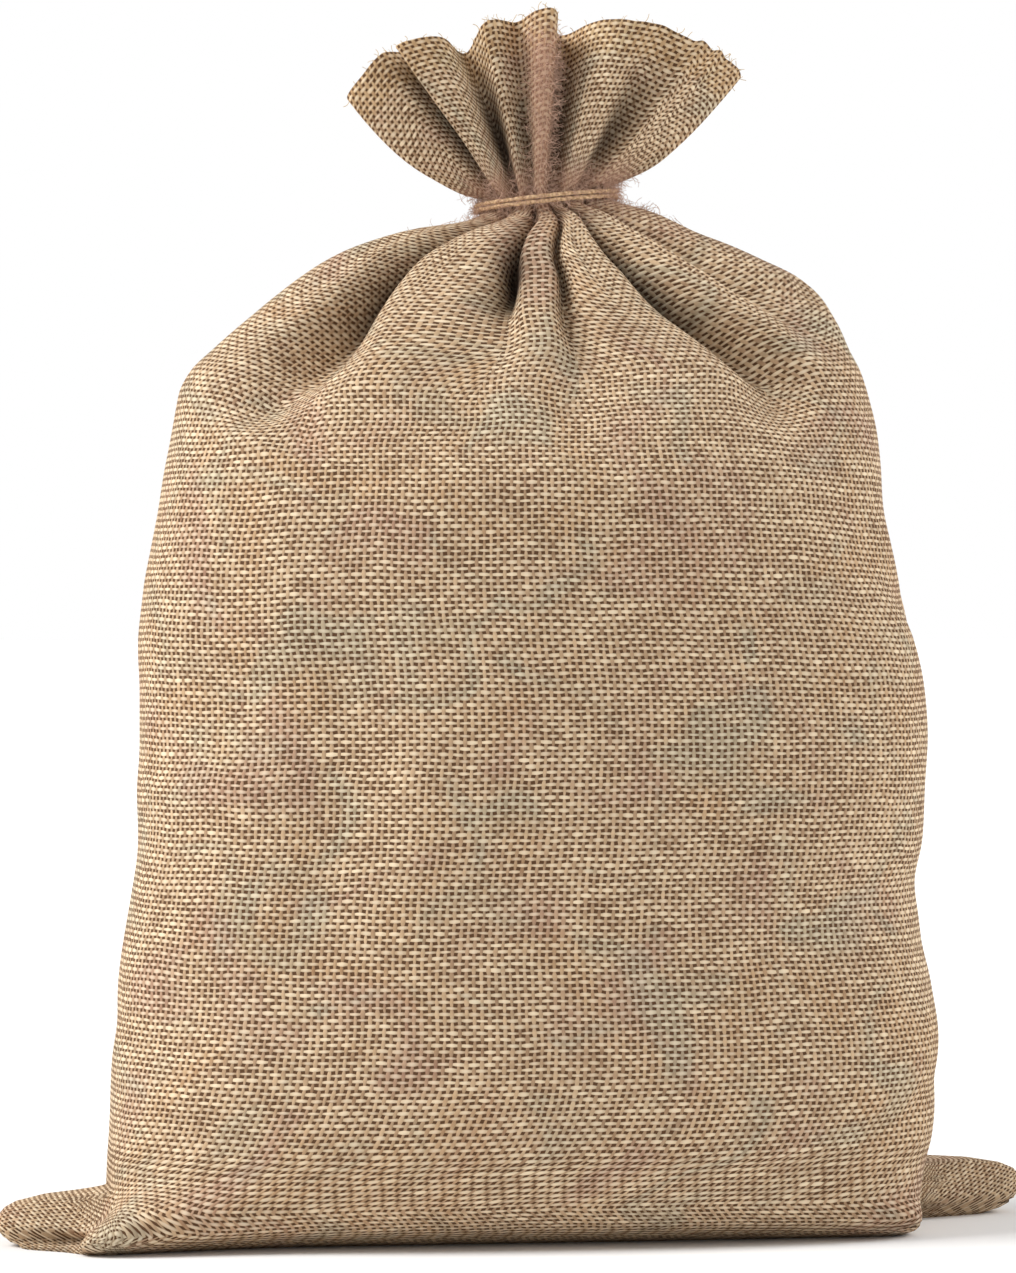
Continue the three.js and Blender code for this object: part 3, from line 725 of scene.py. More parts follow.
@dataclass(frozen=True)
class Burlap:
    """Loomed jute sacking: thick uneven yarns in a plain weave, matt and dry, with shade painted into the
    gaps between them and onto their low sides.

    Sizes in the weave are in pitches of its yarns, and its heights run from minus one to one.
    """

    name: str = "woven_jute_burlap"
    warp_pitch: float = 788 / 292 * MM  # upright yarns, a whole number of them round the bag
    weft_pitch: float = 2.36 * MM  # level yarns
    warp_width: float = 0.23  # half width of a yarn
    weft_width: float = 0.26
    arch: float = 0.27  # how far a yarn rises over the one it crosses
    swell: float = 0.16  # how much wider it is there
    round_top: float = 0.55  # height of a yarn's own round top
    wander: float = 1.1 * MM  # how far a yarn strays from its line
    wander_size: float = 34 * MM
    slub_run: float = 0.19  # how fast the thickness of a yarn changes along it
    slub_rows: float = 7.31  # how far apart two neighbours lie in the random pattern
    slub_seed: float = 31.7
    slub_range: tuple[float, float] = (0.3, 0.7)  # random values of a thin and of a thick place
    slub_widths: tuple[float, float] = (0.74, 1.26)  # shares of the width there
    relief: float = 0.75 * MM
    # painted shade in the gaps between the yarns and on their low sides
    gap: str = "5c412c"
    gap_shade_range: tuple[float, float] = (-0.6, 0.42)  # heights in the weave between which the painted shade darkens it
    warp_tones: tuple[str, str] = ("917256", "d3b592")  # dark and light
    weft_tones: tuple[str, str] = ("a98a6a", "e8d0ad")
    tone_range: tuple[float, float] = (0.28, 0.7)
    crown: str = "fbeed6"  # the lit middle of a level yarn where it lies on top
    crown_share: float = 0.34
    crown_range: tuple[float, float] = (0.35, 0.8)
    blush: str = "b38872"
    blush_share: float = 0.62
    # painted shade: the bottoms of the tight folds, the ruffle's pocket and pleats and the recess under the
    # tie darken to this colour
    fold_shade: str = "2c1e14"
    painted_shade_share: float = 0.92  # how dark the painted shade at the bottoms of the tight folds is
    hem: str = "b8925e"  # the doubled cloth of the rim looks denser and golden
    hem_share: float = 0.35
    hem_range: tuple[float, float] = (2.565, 2.567)  # where it starts, up the cloth
    stains: tuple[tuple[str, float, float, float], ...] = (  # colour, size in metres, strength and twist
        ("a87f70", 0.045, 0.4, 0.6),
        ("98a290", 0.033, 0.32, 0.9),
        ("c0966a", 0.060, 0.32, 1.2),
    )
    stain_range: tuple[float, float] = (0.52, 0.72)
    roughness: float = 0.93
    gloss: float = 0.2  # dry fibre hardly shines

    def yarn(
        self, tree: Any, along: Any, across: Any, index: Any, over: Any, width: float, seed: float
    ) -> tuple[Any, Any]:
        """Add the nodes of one set of yarns.

        Args:
            tree: The material's tree.
            along: Place along the yarn in pitches of the yarns that cross it.
            across: Place across the yarn from its middle, in its own pitches.
            index: Number of the yarn.
            over: One where the yarn lies over the crossing and minus one where it lies under.
            width: Half width in pitches.
            seed: Offset of the random slubs.

        Returns:
            Height from minus one to one, and a random value along the yarn.
        """
        run = add(tree, MATH, (along, self.slub_run), operation="MULTIPLY")
        row = add(tree, MATH, (index, self.slub_rows, seed), operation="MULTIPLY_ADD")
        place = add(tree, "ShaderNodeCombineXYZ", (run, row))
        seen = {"Vector": place, "Scale": 1.0, "Detail": 2.0, "Roughness": 0.6}
        slub = add(tree, NOISE, seen, noise_dimensions="2D")
        widths = [width * share for share in self.slub_widths]
        thick = add(tree, RANGE, (slub, *self.slub_range, *widths))
        swell = add(tree, MATH, (over, self.swell, 1.0), operation="MULTIPLY_ADD")
        half = add(tree, MATH, (thick, swell), operation="MULTIPLY")
        ratio = add(tree, MATH, (across, half), operation="DIVIDE")
        square = add(tree, MATH, (ratio, ratio), operation="MULTIPLY")
        left = add(tree, MATH, (1.0, square), operation="SUBTRACT")
        clipped = add(tree, MATH, (left, 0.0), operation="MAXIMUM")
        round_top = add(tree, MATH, (clipped,), operation="SQRT")
        arch = add(tree, MATH, (over, self.arch), operation="MULTIPLY")
        raised = add(tree, MATH, (round_top, self.round_top, arch), operation="MULTIPLY_ADD")
        inside = add(tree, MATH, (left, 0.0), operation="GREATER_THAN")
        lifted = add(tree, MATH, (raised, 1.0), operation="ADD")
        kept = add(tree, MATH, (lifted, inside), operation="MULTIPLY")
        return add(tree, MATH, (kept, 1.0), operation="SUBTRACT"), slub

    def weave(self, tree: Any, cloth: Any) -> tuple[Any, Any]:
        """Add the nodes of the level and the upright yarns.

        Args:
            tree: The material's tree.
            cloth: Place on the cloth.

        Returns:
            Both heights, and both random values along the yarns.
        """
        seen = {"Vector": cloth, "Scale": 1 / self.wander_size, "Detail": 4.0, "Roughness": 0.6}
        stray = add(tree, NOISE, seen, noise_dimensions="2D")
        centred = add(tree, VECTOR, (stray.outputs["Color"], (0.5, 0.5, 0.5)), operation="SUBTRACT")
        moved = add(tree, VECTOR, (centred, (self.wander * 2,) * 3, cloth), operation="MULTIPLY_ADD")
        counts = (1 / self.warp_pitch, 1 / self.weft_pitch, 0)
        pitches = add(tree, VECTOR, (moved, counts), operation="MULTIPLY")
        number = add(tree, VECTOR, (pitches,), operation="FLOOR")
        part = add(tree, VECTOR, (pitches, number), operation="SUBTRACT")
        middle = add(tree, VECTOR, (part, (0.5, 0.5, 0)), operation="SUBTRACT")
        place, yarn, off = [
            add(tree, "ShaderNodeSeparateXYZ", (vector,)).outputs for vector in (pitches, number, middle)
        ]
        both = add(tree, MATH, (yarn[0], yarn[1]), operation="ADD")
        odd = add(tree, MATH, (both, 2.0), operation="FLOORED_MODULO")
        sign = add(tree, MATH, (odd, -2.0, 1.0), operation="MULTIPLY_ADD")
        sets = []
        for axis, width, way in ((1, self.weft_width, 1.0), (0, self.warp_width, -1.0)):
            cross = 1 - axis
            turn = add(tree, MATH, (off[cross], math.pi), operation="MULTIPLY")
            wave = add(tree, MATH, (turn,), operation="COSINE")
            signed = add(tree, MATH, (wave, sign), operation="MULTIPLY")
            over = add(tree, MATH, (signed, way), operation="MULTIPLY")
            seed = self.slub_seed * axis
            sets.append(self.yarn(tree, place[cross], off[axis], yarn[axis], over, width, seed))
        heights, slubs = zip(*sets)
        return heights, slubs

    def layers(self, tree: Any, cloth: Any, top: Any, weft_on_top: Any) -> list[tuple[Any, str]]:
        """Add the nodes of the shares in which other colours lie over the yarns' own.

        Args:
            tree: The material's tree.
            cloth: Place on the cloth.
            top: Height of the weave.
            weft_on_top: One where a level yarn is on top.

        Returns:
            Share and colour of the soft spots of uneven dye, the hem, the lit crowns, the painted shade of
            the gaps and the yarns' low sides, the worn cloth and the painted shade in the folds, in order.
        """
        smooth = "SMOOTHSTEP"
        found = []
        for tint, size, strength, twist in self.stains:
            seen = {"Vector": cloth, "Scale": 1 / size, "Detail": 3.0, "Distortion": twist}
            spot = add(tree, NOISE, seen, noise_dimensions="2D")
            ends = (*self.stain_range, 0.0, strength)
            found.append((add(tree, RANGE, (spot, *ends), interpolation_type=smooth), tint))
        up = add(tree, "ShaderNodeSeparateXYZ", (cloth,)).outputs[1]
        found.append((add(tree, RANGE, (up, *self.hem_range, 0.0, self.hem_share)), self.hem))
        peak = add(tree, RANGE, (top, *self.crown_range))
        lit = add(tree, MATH, (peak, weft_on_top), operation="MULTIPLY")
        lit = add(tree, MATH, (lit, self.crown_share), operation="MULTIPLY")
        # painted shade: the lower the weave lies, the darker it is
        shaded = add(tree, RANGE, (top, *self.gap_shade_range, 1.0, 0.0), interpolation_type=smooth)
        found += [(lit, self.crown), (shaded, self.gap)]
        # the pink of the worn lint, and the painted shade in the folds
        for name, most, tint in (
            ("fluff", self.blush_share, self.blush),
            ("painted_shade", self.painted_shade_share, self.fold_shade),
        ):
            share = add(tree, "ShaderNodeAttribute", attribute_name=name).outputs["Fac"]
            found.append((add(tree, MATH, (share, most), operation="MULTIPLY"), tint))
        return found

    def material(self) -> bpy.types.Material:
        """Build the weave on the cloth's own UV map, in metres of cloth."""
        made = bpy.data.materials.new(self.name)
        tree = emptied(made)
        cloth = add(tree, "ShaderNodeUVMap", uv_map="cloth")
        heights, slubs = self.weave(tree, cloth)
        top = add(tree, MATH, heights, operation="MAXIMUM")
        weft_on_top = add(tree, MATH, heights, operation="GREATER_THAN")
        tones = []
        for slub, shades in zip(slubs, (self.weft_tones, self.warp_tones)):
            ramp = add(tree, "ShaderNodeValToRGB", (slub.outputs["Color"],))
            for stop, place, shade in zip(ramp.color_ramp.elements, self.tone_range, shades):
                stop.position, stop.color = place, srgb(shade)
            tones.append(ramp)
        colour = add(tree, MIX, {0: weft_on_top, 6: tones[1], 7: tones[0]}, data_type="RGBA").outputs[2]
        for share, tint in self.layers(tree, cloth, top, weft_on_top):
            colour = add(tree, MIX, {0: share, 6: colour, 7: srgb(tint)}, data_type="RGBA").outputs[2]
        floor = add(tree, MATH, (top, self.gap_shade_range[0]), operation="MAXIMUM")
        bump = add(tree, "ShaderNodeBump", {"Height": floor, "Distance": self.relief / 2, "Strength": 1.0})
        look = {"Base Color": colour, "Roughness": self.roughness, "Normal": bump}
        shader = add(tree, "ShaderNodeBsdfPrincipled", look | {"Specular IOR Level": self.gloss})
        add(tree, "ShaderNodeOutputMaterial", {"Surface": shader})
        return made


@dataclass
class Wear:
    """Where the cloth is worn to lint, and where shade is painted into its folds, pockets and pleats.

    Sizes are in millimetres, and places up the ruffle are shares of its height.
    """

    form: SackForm
    lint_height: float = 411.0  # where the neck is worn most, and how far that spreads
    lint_spread: float = 9.0
    lint_rise: float = 0.16  # how far it spreads up the ruffle
    panel: tuple[float, float] = (0.756, 0.022)  # place and half width of the worn middle fold
    panel_power: float = 4
    pocket: tuple[float, float] = (0.588, 0.019)  # place and half width of the painted shade in the ruffle's pocket
    panel_fade: tuple[float, float] = (0.75, 1.0)  # where both fade out
    recess: tuple[float, float] = (0.744, 0.012)  # place and half width of the painted shade in the recess under the tie
    recess_heights: tuple[float, float] = (383.0, 14.0)  # its middle and half height
    dark_fold: float = 20.0  # depth of a fold whose bottom gets the full painted shade
    dark_power: float = 1.5
    dark_heights: tuple[float, float] = (352.0, 382.0)  # where the bottoms turn dark
    dark_pleat: float = 5.0  # depth of a ruffle's pleat that gets the full painted shade
    dark_fade: tuple[float, float] = (0.3, 0.9)

    def lint(self, places: Array, heights: Array, outer: Array) -> tuple[Array, Array]:
        """How worn the bag and the outside of the ruffle are, ring by ring."""
        neck = bell(heights - self.lint_height, self.lint_spread)[:, None]
        panel = bell(places - self.panel[0], self.panel[1], self.panel_power)
        panel = panel * (1 - ease(*self.panel_fade, outer)[:, None])
        return neck, np.maximum(bell(outer, self.lint_rise)[:, None], panel)

    def fold_shade(self, places: Array, heights: Array, outer: Array) -> tuple[Array, Array]:
        """How much painted shade darkens the folds of the bag and of the ruffle, ring by ring."""
        around, z = np.meshgrid(places, heights)
        shaded = np.clip(self.form.fold_depths(places, heights) / self.dark_fold, 0, 1) ** self.dark_power
        middle, spread = self.recess_heights
        recess = bell(around - self.recess[0], self.recess[1]) * bell(z - middle, spread)
        pleats = np.clip(self.form.rim_values("pleat", places) / self.dark_pleat, 0, 1)
        pleats = pleats * (1 - ease(*self.dark_fade, outer))[:, None]
        pocket = bell(places - self.pocket[0], self.pocket[1])
        pocket = pocket * (1 - ease(*self.panel_fade, outer)[:, None])
        return np.maximum(shaded * ease(*self.dark_heights, z), recess), np.maximum(pleats, pocket)


@dataclass
class Sack:
    """The filled bag: one closed piece of cloth surface over its filling, from the base to the mouth."""

    form: SackForm
    finish: Burlap
    wear: Wear
    floor_height: float = 30.0  # top of the foot, whose rings are close
    floor_step: float = 2.0  # height between rings near the floor, on the body and on the shoulders
    body_step: float = 2.5
    shoulder_step: float = 1.9
    ruffle_rings: int = 34
    base_shares: tuple[float, ...] = (0.3, 0.6, 0.82, 0.94)
    inner_shares: tuple[float, ...] = (1, 0.97, 0.93, 0.88, 0.83, 0.78, 0.72, 0.66, 0.6, 0.55, 0.5, 0.44)
    mouth_from: float = 0.8  # share of the height where the pleats start to close up
    mouth_to: float = 0.44
    level_from: float = 75.0  # height where the count of level yarns starts
    anchor_height: float = 342.0  # height whose yarns the crests carry up
    gather_heights: tuple[float, float] = (322.0, 352.0)
    rim_at: float = 580.0  # cloth between the floor and the rim
    ear_blend: tuple[float, float] = (1.0, 16.0)  # how far out an ear's cloth lies flat
    neck_pitch: float = 0.62  # how close the upright yarns are drawn at the neck
    neck_heights: tuple[float, float] = (360.0, 405.0)  # heights between which they draw close
    uv_start: float = 2.0  # keeps the cloth coordinates positive
    shift: Array = field(init=False)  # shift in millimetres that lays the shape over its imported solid

    def ring_heights(self) -> Array:
        """Heights of the bag's rings, closer at the floor and on the shoulders."""
        ends = (0, self.floor_height, self.form.shelf, NECK_TOP.z)
        steps = (self.floor_step, self.body_step, self.shoulder_step)
        parts = [
            np.linspace(low, high, round((high - low) / step), endpoint=False)
            for low, high, step in zip(ends, ends[1:], steps)
        ]
        return np.concatenate([*parts, ends[-1:]])

    def plain_u(self, length: Array, heights: Array, places: Array) -> Array:
        """Cloth coordinate of every column where the cloth hangs plain, with the side seams held.

        Args:
            length: Length round each ring up to each column, and the whole length last.
            heights: Heights of the rings.
            places: Places of the columns.

        Returns:
            An array of rings by columns and one, in millimetres.
        """
        half = int(np.searchsorted(places, 0.5))
        start = nearest(heights, self.form.pull_heights[0])
        plain = np.empty_like(length)
        for low, high, middle in ((0, half, BACK), (half, len(places), FRONT)):
            scale = self.form.cloth_round / 2 / (length[:, high] - length[:, low])
            scale[:start] = scale[start]
            anchor = nearest(places, middle)
            centre = (length[:, low] + length[:, high]) / 2
            straight = heights <= self.form.shelf
            drift = (length[:, anchor] - centre)[straight]
            centre[straight] += drift
            centre[~straight] += drift[-1]
            offset = length[:, low : high + 1] - centre[:, None]
            plain[:, low : high + 1] = places[anchor] * self.form.cloth_round + offset * scale[:, None]
        return plain

    def cloth_u(self, rings: Array, heights: Array, places: Array) -> Array:
        """Cloth coordinate round the bag at both ends of each cell.

        The yarns of the body hang straight. Above, each crest keeps its yarns at their real pitch and
        the cloth that is left over jumps at the bottom of the valleys, where a fold hides it.

        Args:
            rings: Points of the bag.
            heights: Heights of the rings.
            places: Places of the columns.

        Returns:
            An array of rings by cells by two, in millimetres.
        """
        length = running(np.linalg.norm(np.roll(rings, -1, axis=1) - rings, axis=-1))
        total = length[:, -1:]
        plain = self.plain_u(length, heights, places)
        middle = cell_middles(places)
        crest, valley, _ = self.form.folds_at(middle % 1)
        columns = np.array([nearest(places, line) for line in FOLD_PLACES])
        wrap = np.round(middle - FOLD_PLACES[crest])
        side = FOLD_PLACES[valley] - FOLD_PLACES[crest]
        side -= np.round(side)
        reach = length[:, columns[valley]] - length[:, columns[crest]]
        reach = np.abs(np.where(np.sign(reach) == np.sign(side), reach, total - np.abs(reach)))
        tight = np.abs(side) * self.form.cloth_round / np.maximum(reach, 1e-6)
        drawn = mix(1, 1 / self.neck_pitch, ease(*self.neck_heights, heights))
        scale = np.minimum(drawn[:, None], tight)
        origin = length[:, columns[crest]] + wrap * total
        start = plain[nearest(heights, self.anchor_height), columns[crest]] + wrap * self.form.cloth_round
        hung, run = [np.stack([line[:, :-1], line[:, 1:]], axis=-1) for line in (plain, length)]
        followed = start[:, None] + (run - origin[..., None]) * scale[..., None]
        return mix(hung, followed, self.gathered(heights)[:, None, None])

    def gathered(self, heights: Array) -> Array:
        """How far the yarns follow the crests and no longer hang straight, at heights."""
        return ease(*self.gather_heights, heights)

    def cloth_v(self, rings: Array, heights: Array) -> Array:
        """Cloth coordinate up the bag, which leaves out how far the columns drift sideways."""
        climb = np.diff(rings, axis=0)
        along = unit(along_ring(rings))[:-1]
        drift = np.sum(climb * along, axis=-1, keepdims=True) * along
        climb = climb - drift * (1 - self.gathered(heights[:-1]))[:, None, None]
        level = running(np.linalg.norm(climb, axis=-1), axis=0)
        return level - level[nearest(heights, self.level_from)] + self.level_from

    def lay_ears(self, bag: Array, heights: Array, places: Array, bag_u: Array, bag_v: Array) -> None:
        """Turn the cloth coordinates of the floor ears to a weave that lies flat, in place.

        Args:
            bag: Points of the bag.
            heights: Heights of the rings.
            places: Places of the columns.
            bag_u: Cloth coordinate round the bag at both ends of each cell.
            bag_v: Cloth coordinate up the bag.
        """
        table = self.form.levels(heights)
        middle = cell_middles(places)
        for side, name, seam in ((Side.LEFT, "left", 0.5), (Side.RIGHT, "right", 0.0)):
            ear = side.value[0]
            out = ear.way * bag[..., 0] - table[name][:, None]
            share = ease(*self.ear_blend, out)
            own_u = seam * self.form.cloth_round + ear.way * (bag[..., 1] - ear.y + bag[..., 2])
            turns = np.round(middle) if seam == 0 else 0
            for end in (0, 1):
                part = np.roll(share, -end, axis=1)
                flat = np.roll(own_u, -end, axis=1) + turns * self.form.cloth_round
                bag_u[:, :, end] = mix(bag_u[:, :, end], flat, part)
            bag_v[:] = mix(bag_v, bag[..., 2] - out, share)

    def ruffle_uvs(self, fan: Array, rim: int, places: Array) -> Array:
        """UVs of the ruffle's corners, even round the rim and counted down from it.

        Args:
            fan: Points up the outside of the ruffle and down its inside.
            rim: Row of the rim.
            places: Places of the columns.

        Returns:
            An array of rows by cells by four corners by two, in millimetres.
        """
        level = running(np.linalg.norm(np.diff(fan, axis=0), axis=-1), axis=0)
        level = level - level[rim] + self.rim_at
        u = running(np.linalg.norm(np.roll(fan[rim], -1, axis=0) - fan[rim], axis=-1))
        u += FRONT * self.form.cloth_round - np.interp(FRONT, places, u[:-1])
        start, end = [np.broadcast_to(side, level.shape) for side in (u[:-1], u[1:])]
        rows = corner_uvs(start, end, level)
        return np.concatenate([rows[:1], rows])

    def corners(self, base: Array, bag: Array, fan: Array, heights: Array, places: Array) -> Array:
        """UVs of the corners of all the faces between rings.

        Args:
            base: Points of the bottom, from its middle outwards.
            bag: Points of the bag.
            fan: Points up the outside of the ruffle and down its inside.
            heights: Heights of the bag's rings.
            places: Places of the columns.

        Returns:
            Corner by corner, in millimetres.
        """
        plan = np.concatenate([base, bag[:1]])
        x, y = plan[..., 0], plan[..., 1]
        u, v = self.cloth_u(bag, heights, places), self.cloth_v(bag, heights)
        self.lay_ears(bag, heights, places, u, v)
        parts = (
            corner_uvs(x, np.roll(x, -1, axis=1), y),
            corner_uvs(u[..., 0], u[..., 1], v),
            self.ruffle_uvs(fan, self.ruffle_rings - 1, places),
        )
        return np.concatenate([part.reshape(-1, 2) for part in parts])

    def build(self) -> bpy.types.Object:
        """Build the mesh with its UV map and attributes."""
        form = self.form
        places, heights = form.place_columns(), self.ring_heights()
        outer, inner = np.linspace(0, 1, self.ruffle_rings), np.array(self.inner_shares)
        bag, outside = form.bag(places, heights), form.ruffle(places, outer)
        inside = form.inside(places, inner, ease(self.mouth_from, self.mouth_to, inner))
        base = np.stack([bag[0] * (share, share, 1) for share in self.base_shares])
        fan = np.concatenate([outside, inside])
        rings = np.concatenate([base, bag, fan])
        pole = inside[-1].mean(axis=0) - (0, 0, form.mouth_drop)
        points = np.concatenate([[(0, 0, 0)], rings.reshape(-1, 3), [pole]])
        first = 1 + np.arange(len(places))
        last = first + len(places) * (len(rings) - 1)
        under = np.stack([np.zeros_like(first), np.roll(first, -1), first], axis=1)
        floor = np.stack([np.full_like(last, len(points) - 1), last, np.roll(last, -1)], axis=1)
        quads = 1 + ring_faces(len(rings), len(places))
        low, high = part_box("sack")
        off = np.array((low + high) / 2) / MM - (points.min(axis=0) + points.max(axis=0)) / 2
        self.shift = np.array([off[0], off[1], 0])
        faces = quads.tolist() + under.tolist() + floor.tolist()
        piece = mesh_object("sack_cloth", (points + self.shift) * MM, faces)
        poles = np.zeros((len(under) * 3 + len(floor) * 3, 2))
        uvs = np.concatenate([self.corners(base, bag, fan, heights, places), poles]) * MM + self.uv_start
        layer = piece.data.uv_layers.new(name="cloth")
        layer.data.foreach_set("uv", uvs.astype(np.float32).ravel())
        self.paint(piece, places, heights, outer)
        return piece

    def paint(self, piece: bpy.types.Object, places: Array, heights: Array, outer: Array) -> None:
        """Write three attributes: fluff, where the neck is worn to pink lint; the painted shade in the folds;
        and fray.

        Args:
            piece: The sack.
            places: Places of the columns.
            heights: Heights of the bag's rings.
            outer: Shares of the ruffle's height of its outer rings.
        """
        first = len(self.base_shares)
        bag = slice(first, first + len(heights))
        ruffle = slice(bag.stop, bag.stop + len(outer))
        fluff, painted_shade, fray = np.zeros((3, ruffle.stop + len(self.inner_shares), len(places)))
        fluff[bag], fluff[ruffle] = self.wear.lint(places, heights, outer)
        # the painted shade in the folds, pockets and pleats, kept off the lint
        painted_shade[bag], painted_shade[ruffle] = self.wear.fold_shade(places, heights, outer)
        painted_shade *= 1 - fluff
        fray[ruffle.stop - 1 : ruffle.stop + 1] = 1
        for name, shares in (("fluff", fluff), ("painted_shade", painted_shade), ("fray", fray)):
            layer = piece.data.attributes.new(name, "FLOAT", "POINT")
            layer.data.foreach_set("value", np.concatenate([[0], shares.ravel(), [0]]).astype(np.float32))

    def make(self) -> bpy.types.Object:
        """Build the piece, dress it and put it in its solid's place."""
        piece = self.build()
        piece.data.materials.append(self.finish.material())
        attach(piece, "root")
        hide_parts("sack")
        return piece


@dataclass(frozen=True)
class Matt:
    """A dry finish of one colour with no gleam: loose jute fibres, or the paper of the floor."""

    name: str
    colour: tuple[float, float, float, float]
    roughness: float = 0.95

    def material(self) -> bpy.types.Material:
        """Build the material."""
        made = bpy.data.materials.new(self.name)
        made.use_nodes = True
        shader = made.node_tree.nodes["Principled BSDF"]
        shader.inputs["Base Color"].default_value = self.colour
        shader.inputs["Roughness"].default_value = self.roughness
        return made


@dataclass
class Lint:
    """Fibres that stand off a piece where one of its attributes is high."""

    name: str
    finish: Matt
    attribute: str
    length: float
    radius: float
    density: float  # fibres on a square metre where the attribute is one
    seed: int
    tilt: float = 1.25  # farthest lean of a fibre from the cloth's normal, in radians
    bends: int = 7
    bend: tuple[float, float, float] = (0.4, 0.1, 0.5)  # middle and tip of a bent fibre, in lengths
    tip: tuple[float, float, float] = (0.15, 0.4, 0.85)
    sizes: tuple[float, float] = (0.45, 1.2)  # the shortest and the longest one, in lengths

    def tree(self) -> Any:
        """Build the node tree that scatters bent fibres over the cloth.

        Returns:
            The tree, with named inputs for its sizes.
        """
        tree = bpy.data.node_groups.new(self.name, "GeometryNodeTree")
        sockets = [("Geometry", "OUTPUT", "Geometry"), ("Geometry", "INPUT", "Geometry")]
        sockets += [(name, "INPUT", "Float") for name in ("Length", "Radius", "Density")]
        for name, way, kind in [*sockets, ("Seed", "INPUT", "Int")]:
            tree.interface.new_socket(name, in_out=way, socket_type="NodeSocket" + kind)
        given = add(tree, "NodeGroupInput").outputs
        seed = given["Seed"]
        worn = add(tree, "GeometryNodeInputNamedAttribute", {"Name": self.attribute}, data_type="FLOAT")
        square = add(tree, MATH, (worn, worn), operation="MULTIPLY")
        dense = add(tree, MATH, (square, given["Density"]), operation="MULTIPLY")
        scatter = {"Mesh": given["Geometry"], "Density": dense, "Seed": seed}
        points = add(tree, "GeometryNodeDistributePointsOnFaces", scatter)
        bend, tip = [
            add(tree, VECTOR, {0: way, "Scale": given["Length"]}, operation="SCALE")
            for way in (self.bend, self.tip)
        ]
        path = {"Resolution": self.bends, "Start": (0, 0, 0), "Middle": bend, "End": tip}
        line = add(tree, "GeometryNodeCurveQuadraticBezier", path)
        circle = {"Resolution": 3, "Radius": given["Radius"]}
        ring = add(tree, "GeometryNodeCurvePrimitiveCircle", circle)
        tube = {"Curve": line, "Profile Curve": ring, "Fill Caps": True}
        fibre = add(tree, "GeometryNodeCurveToMesh", tube)
        leans = {0: (-self.tilt, -self.tilt, 0), 1: (self.tilt, self.tilt, TAU), "Seed": seed}
        lean = add(tree, "FunctionNodeRandomValue", leans, data_type="FLOAT_VECTOR")
        turns = {"Rotation": points.outputs["Rotation"], "Rotate By": lean}
        turned = add(tree, "FunctionNodeRotateRotation", turns, rotation_space="LOCAL")
        ends = {2: self.sizes[0], 3: self.sizes[1], "Seed": seed}
        size = add(tree, "FunctionNodeRandomValue", ends, data_type="FLOAT").outputs[1]
        copies = {"Points": points, "Instance": fibre, "Rotation": turned, "Scale": size}
        placed = add(tree, "GeometryNodeInstanceOnPoints", copies)
        real = add(tree, "GeometryNodeRealizeInstances", {"Geometry": placed})
        worn_off = {"Geometry": real, "Material": self.finish.material()}
        dressed = add(tree, "GeometryNodeSetMaterial", worn_off)
        add(tree, "NodeGroupOutput", {"Geometry": dressed})
        return tree

    def make(self, carrier: bpy.types.Object) -> bpy.types.Object:
        """Scatter the fibres over a piece as one plain mesh.

        Args:
            carrier: The piece, with the attribute.

        Returns:
            The fibres.
        """
        holder = linked(self.name + "_points", carrier.data)
        modifier = holder.modifiers.new("lint", "NODES")
        modifier.node_group = self.tree()
        values = {"Length": self.length, "Radius": self.radius, "Density": self.density, "Seed": self.seed}
        for item in modifier.node_group.interface.items_tree:
            if item.in_out == "INPUT" and item.name in values:
                modifier[item.identifier] = values[item.name]
        evaluated = holder.evaluated_get(bpy.context.evaluated_depsgraph_get())
        mesh = bpy.data.meshes.new_from_object(evaluated)
        holder.modifiers.remove(modifier)
        bpy.data.objects.remove(holder)
        piece = linked(self.name, mesh)
        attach(piece, "root")
        return piece


@dataclass(frozen=True)
class JuteTwine:
    """Spun jute twine: two hairy golden plies, matt."""

    name: str = "spun_jute_twine"
    tones: tuple[str, str] = ("a67e5c", "e6c69c")  # dark and light
    tone_range: tuple[float, float] = (0.35, 0.65)
    streaks: float = 900.0  # fibre streaks to a metre
    relief: float = 0.3 * MM
    strength: float = 0.6
    roughness: float = 0.9

    def material(self) -> bpy.types.Material:
        """Build the twine's streaks on the object's own coordinates."""
        made = bpy.data.materials.new(self.name)
        tree = emptied(made)
        place = add(tree, "ShaderNodeTexCoord").outputs["Object"]
        streak = add(tree, NOISE, {"Vector": place, "Scale": self.streaks, "Detail": 3.0})
        ramp = add(tree, "ShaderNodeValToRGB", (streak,))
        for stop, place, shade in zip(ramp.color_ramp.elements, self.tone_range, self.tones):
            stop.position, stop.color = place, srgb(shade)
        raised = {"Height": streak, "Distance": self.relief, "Strength": self.strength}
        bump = add(tree, "ShaderNodeBump", raised)
        look = {"Base Color": ramp, "Roughness": self.roughness, "Normal": bump}
        add(tree, "ShaderNodeOutputMaterial", {"Surface": add(tree, "ShaderNodeBsdfPrincipled", look)})
        return made


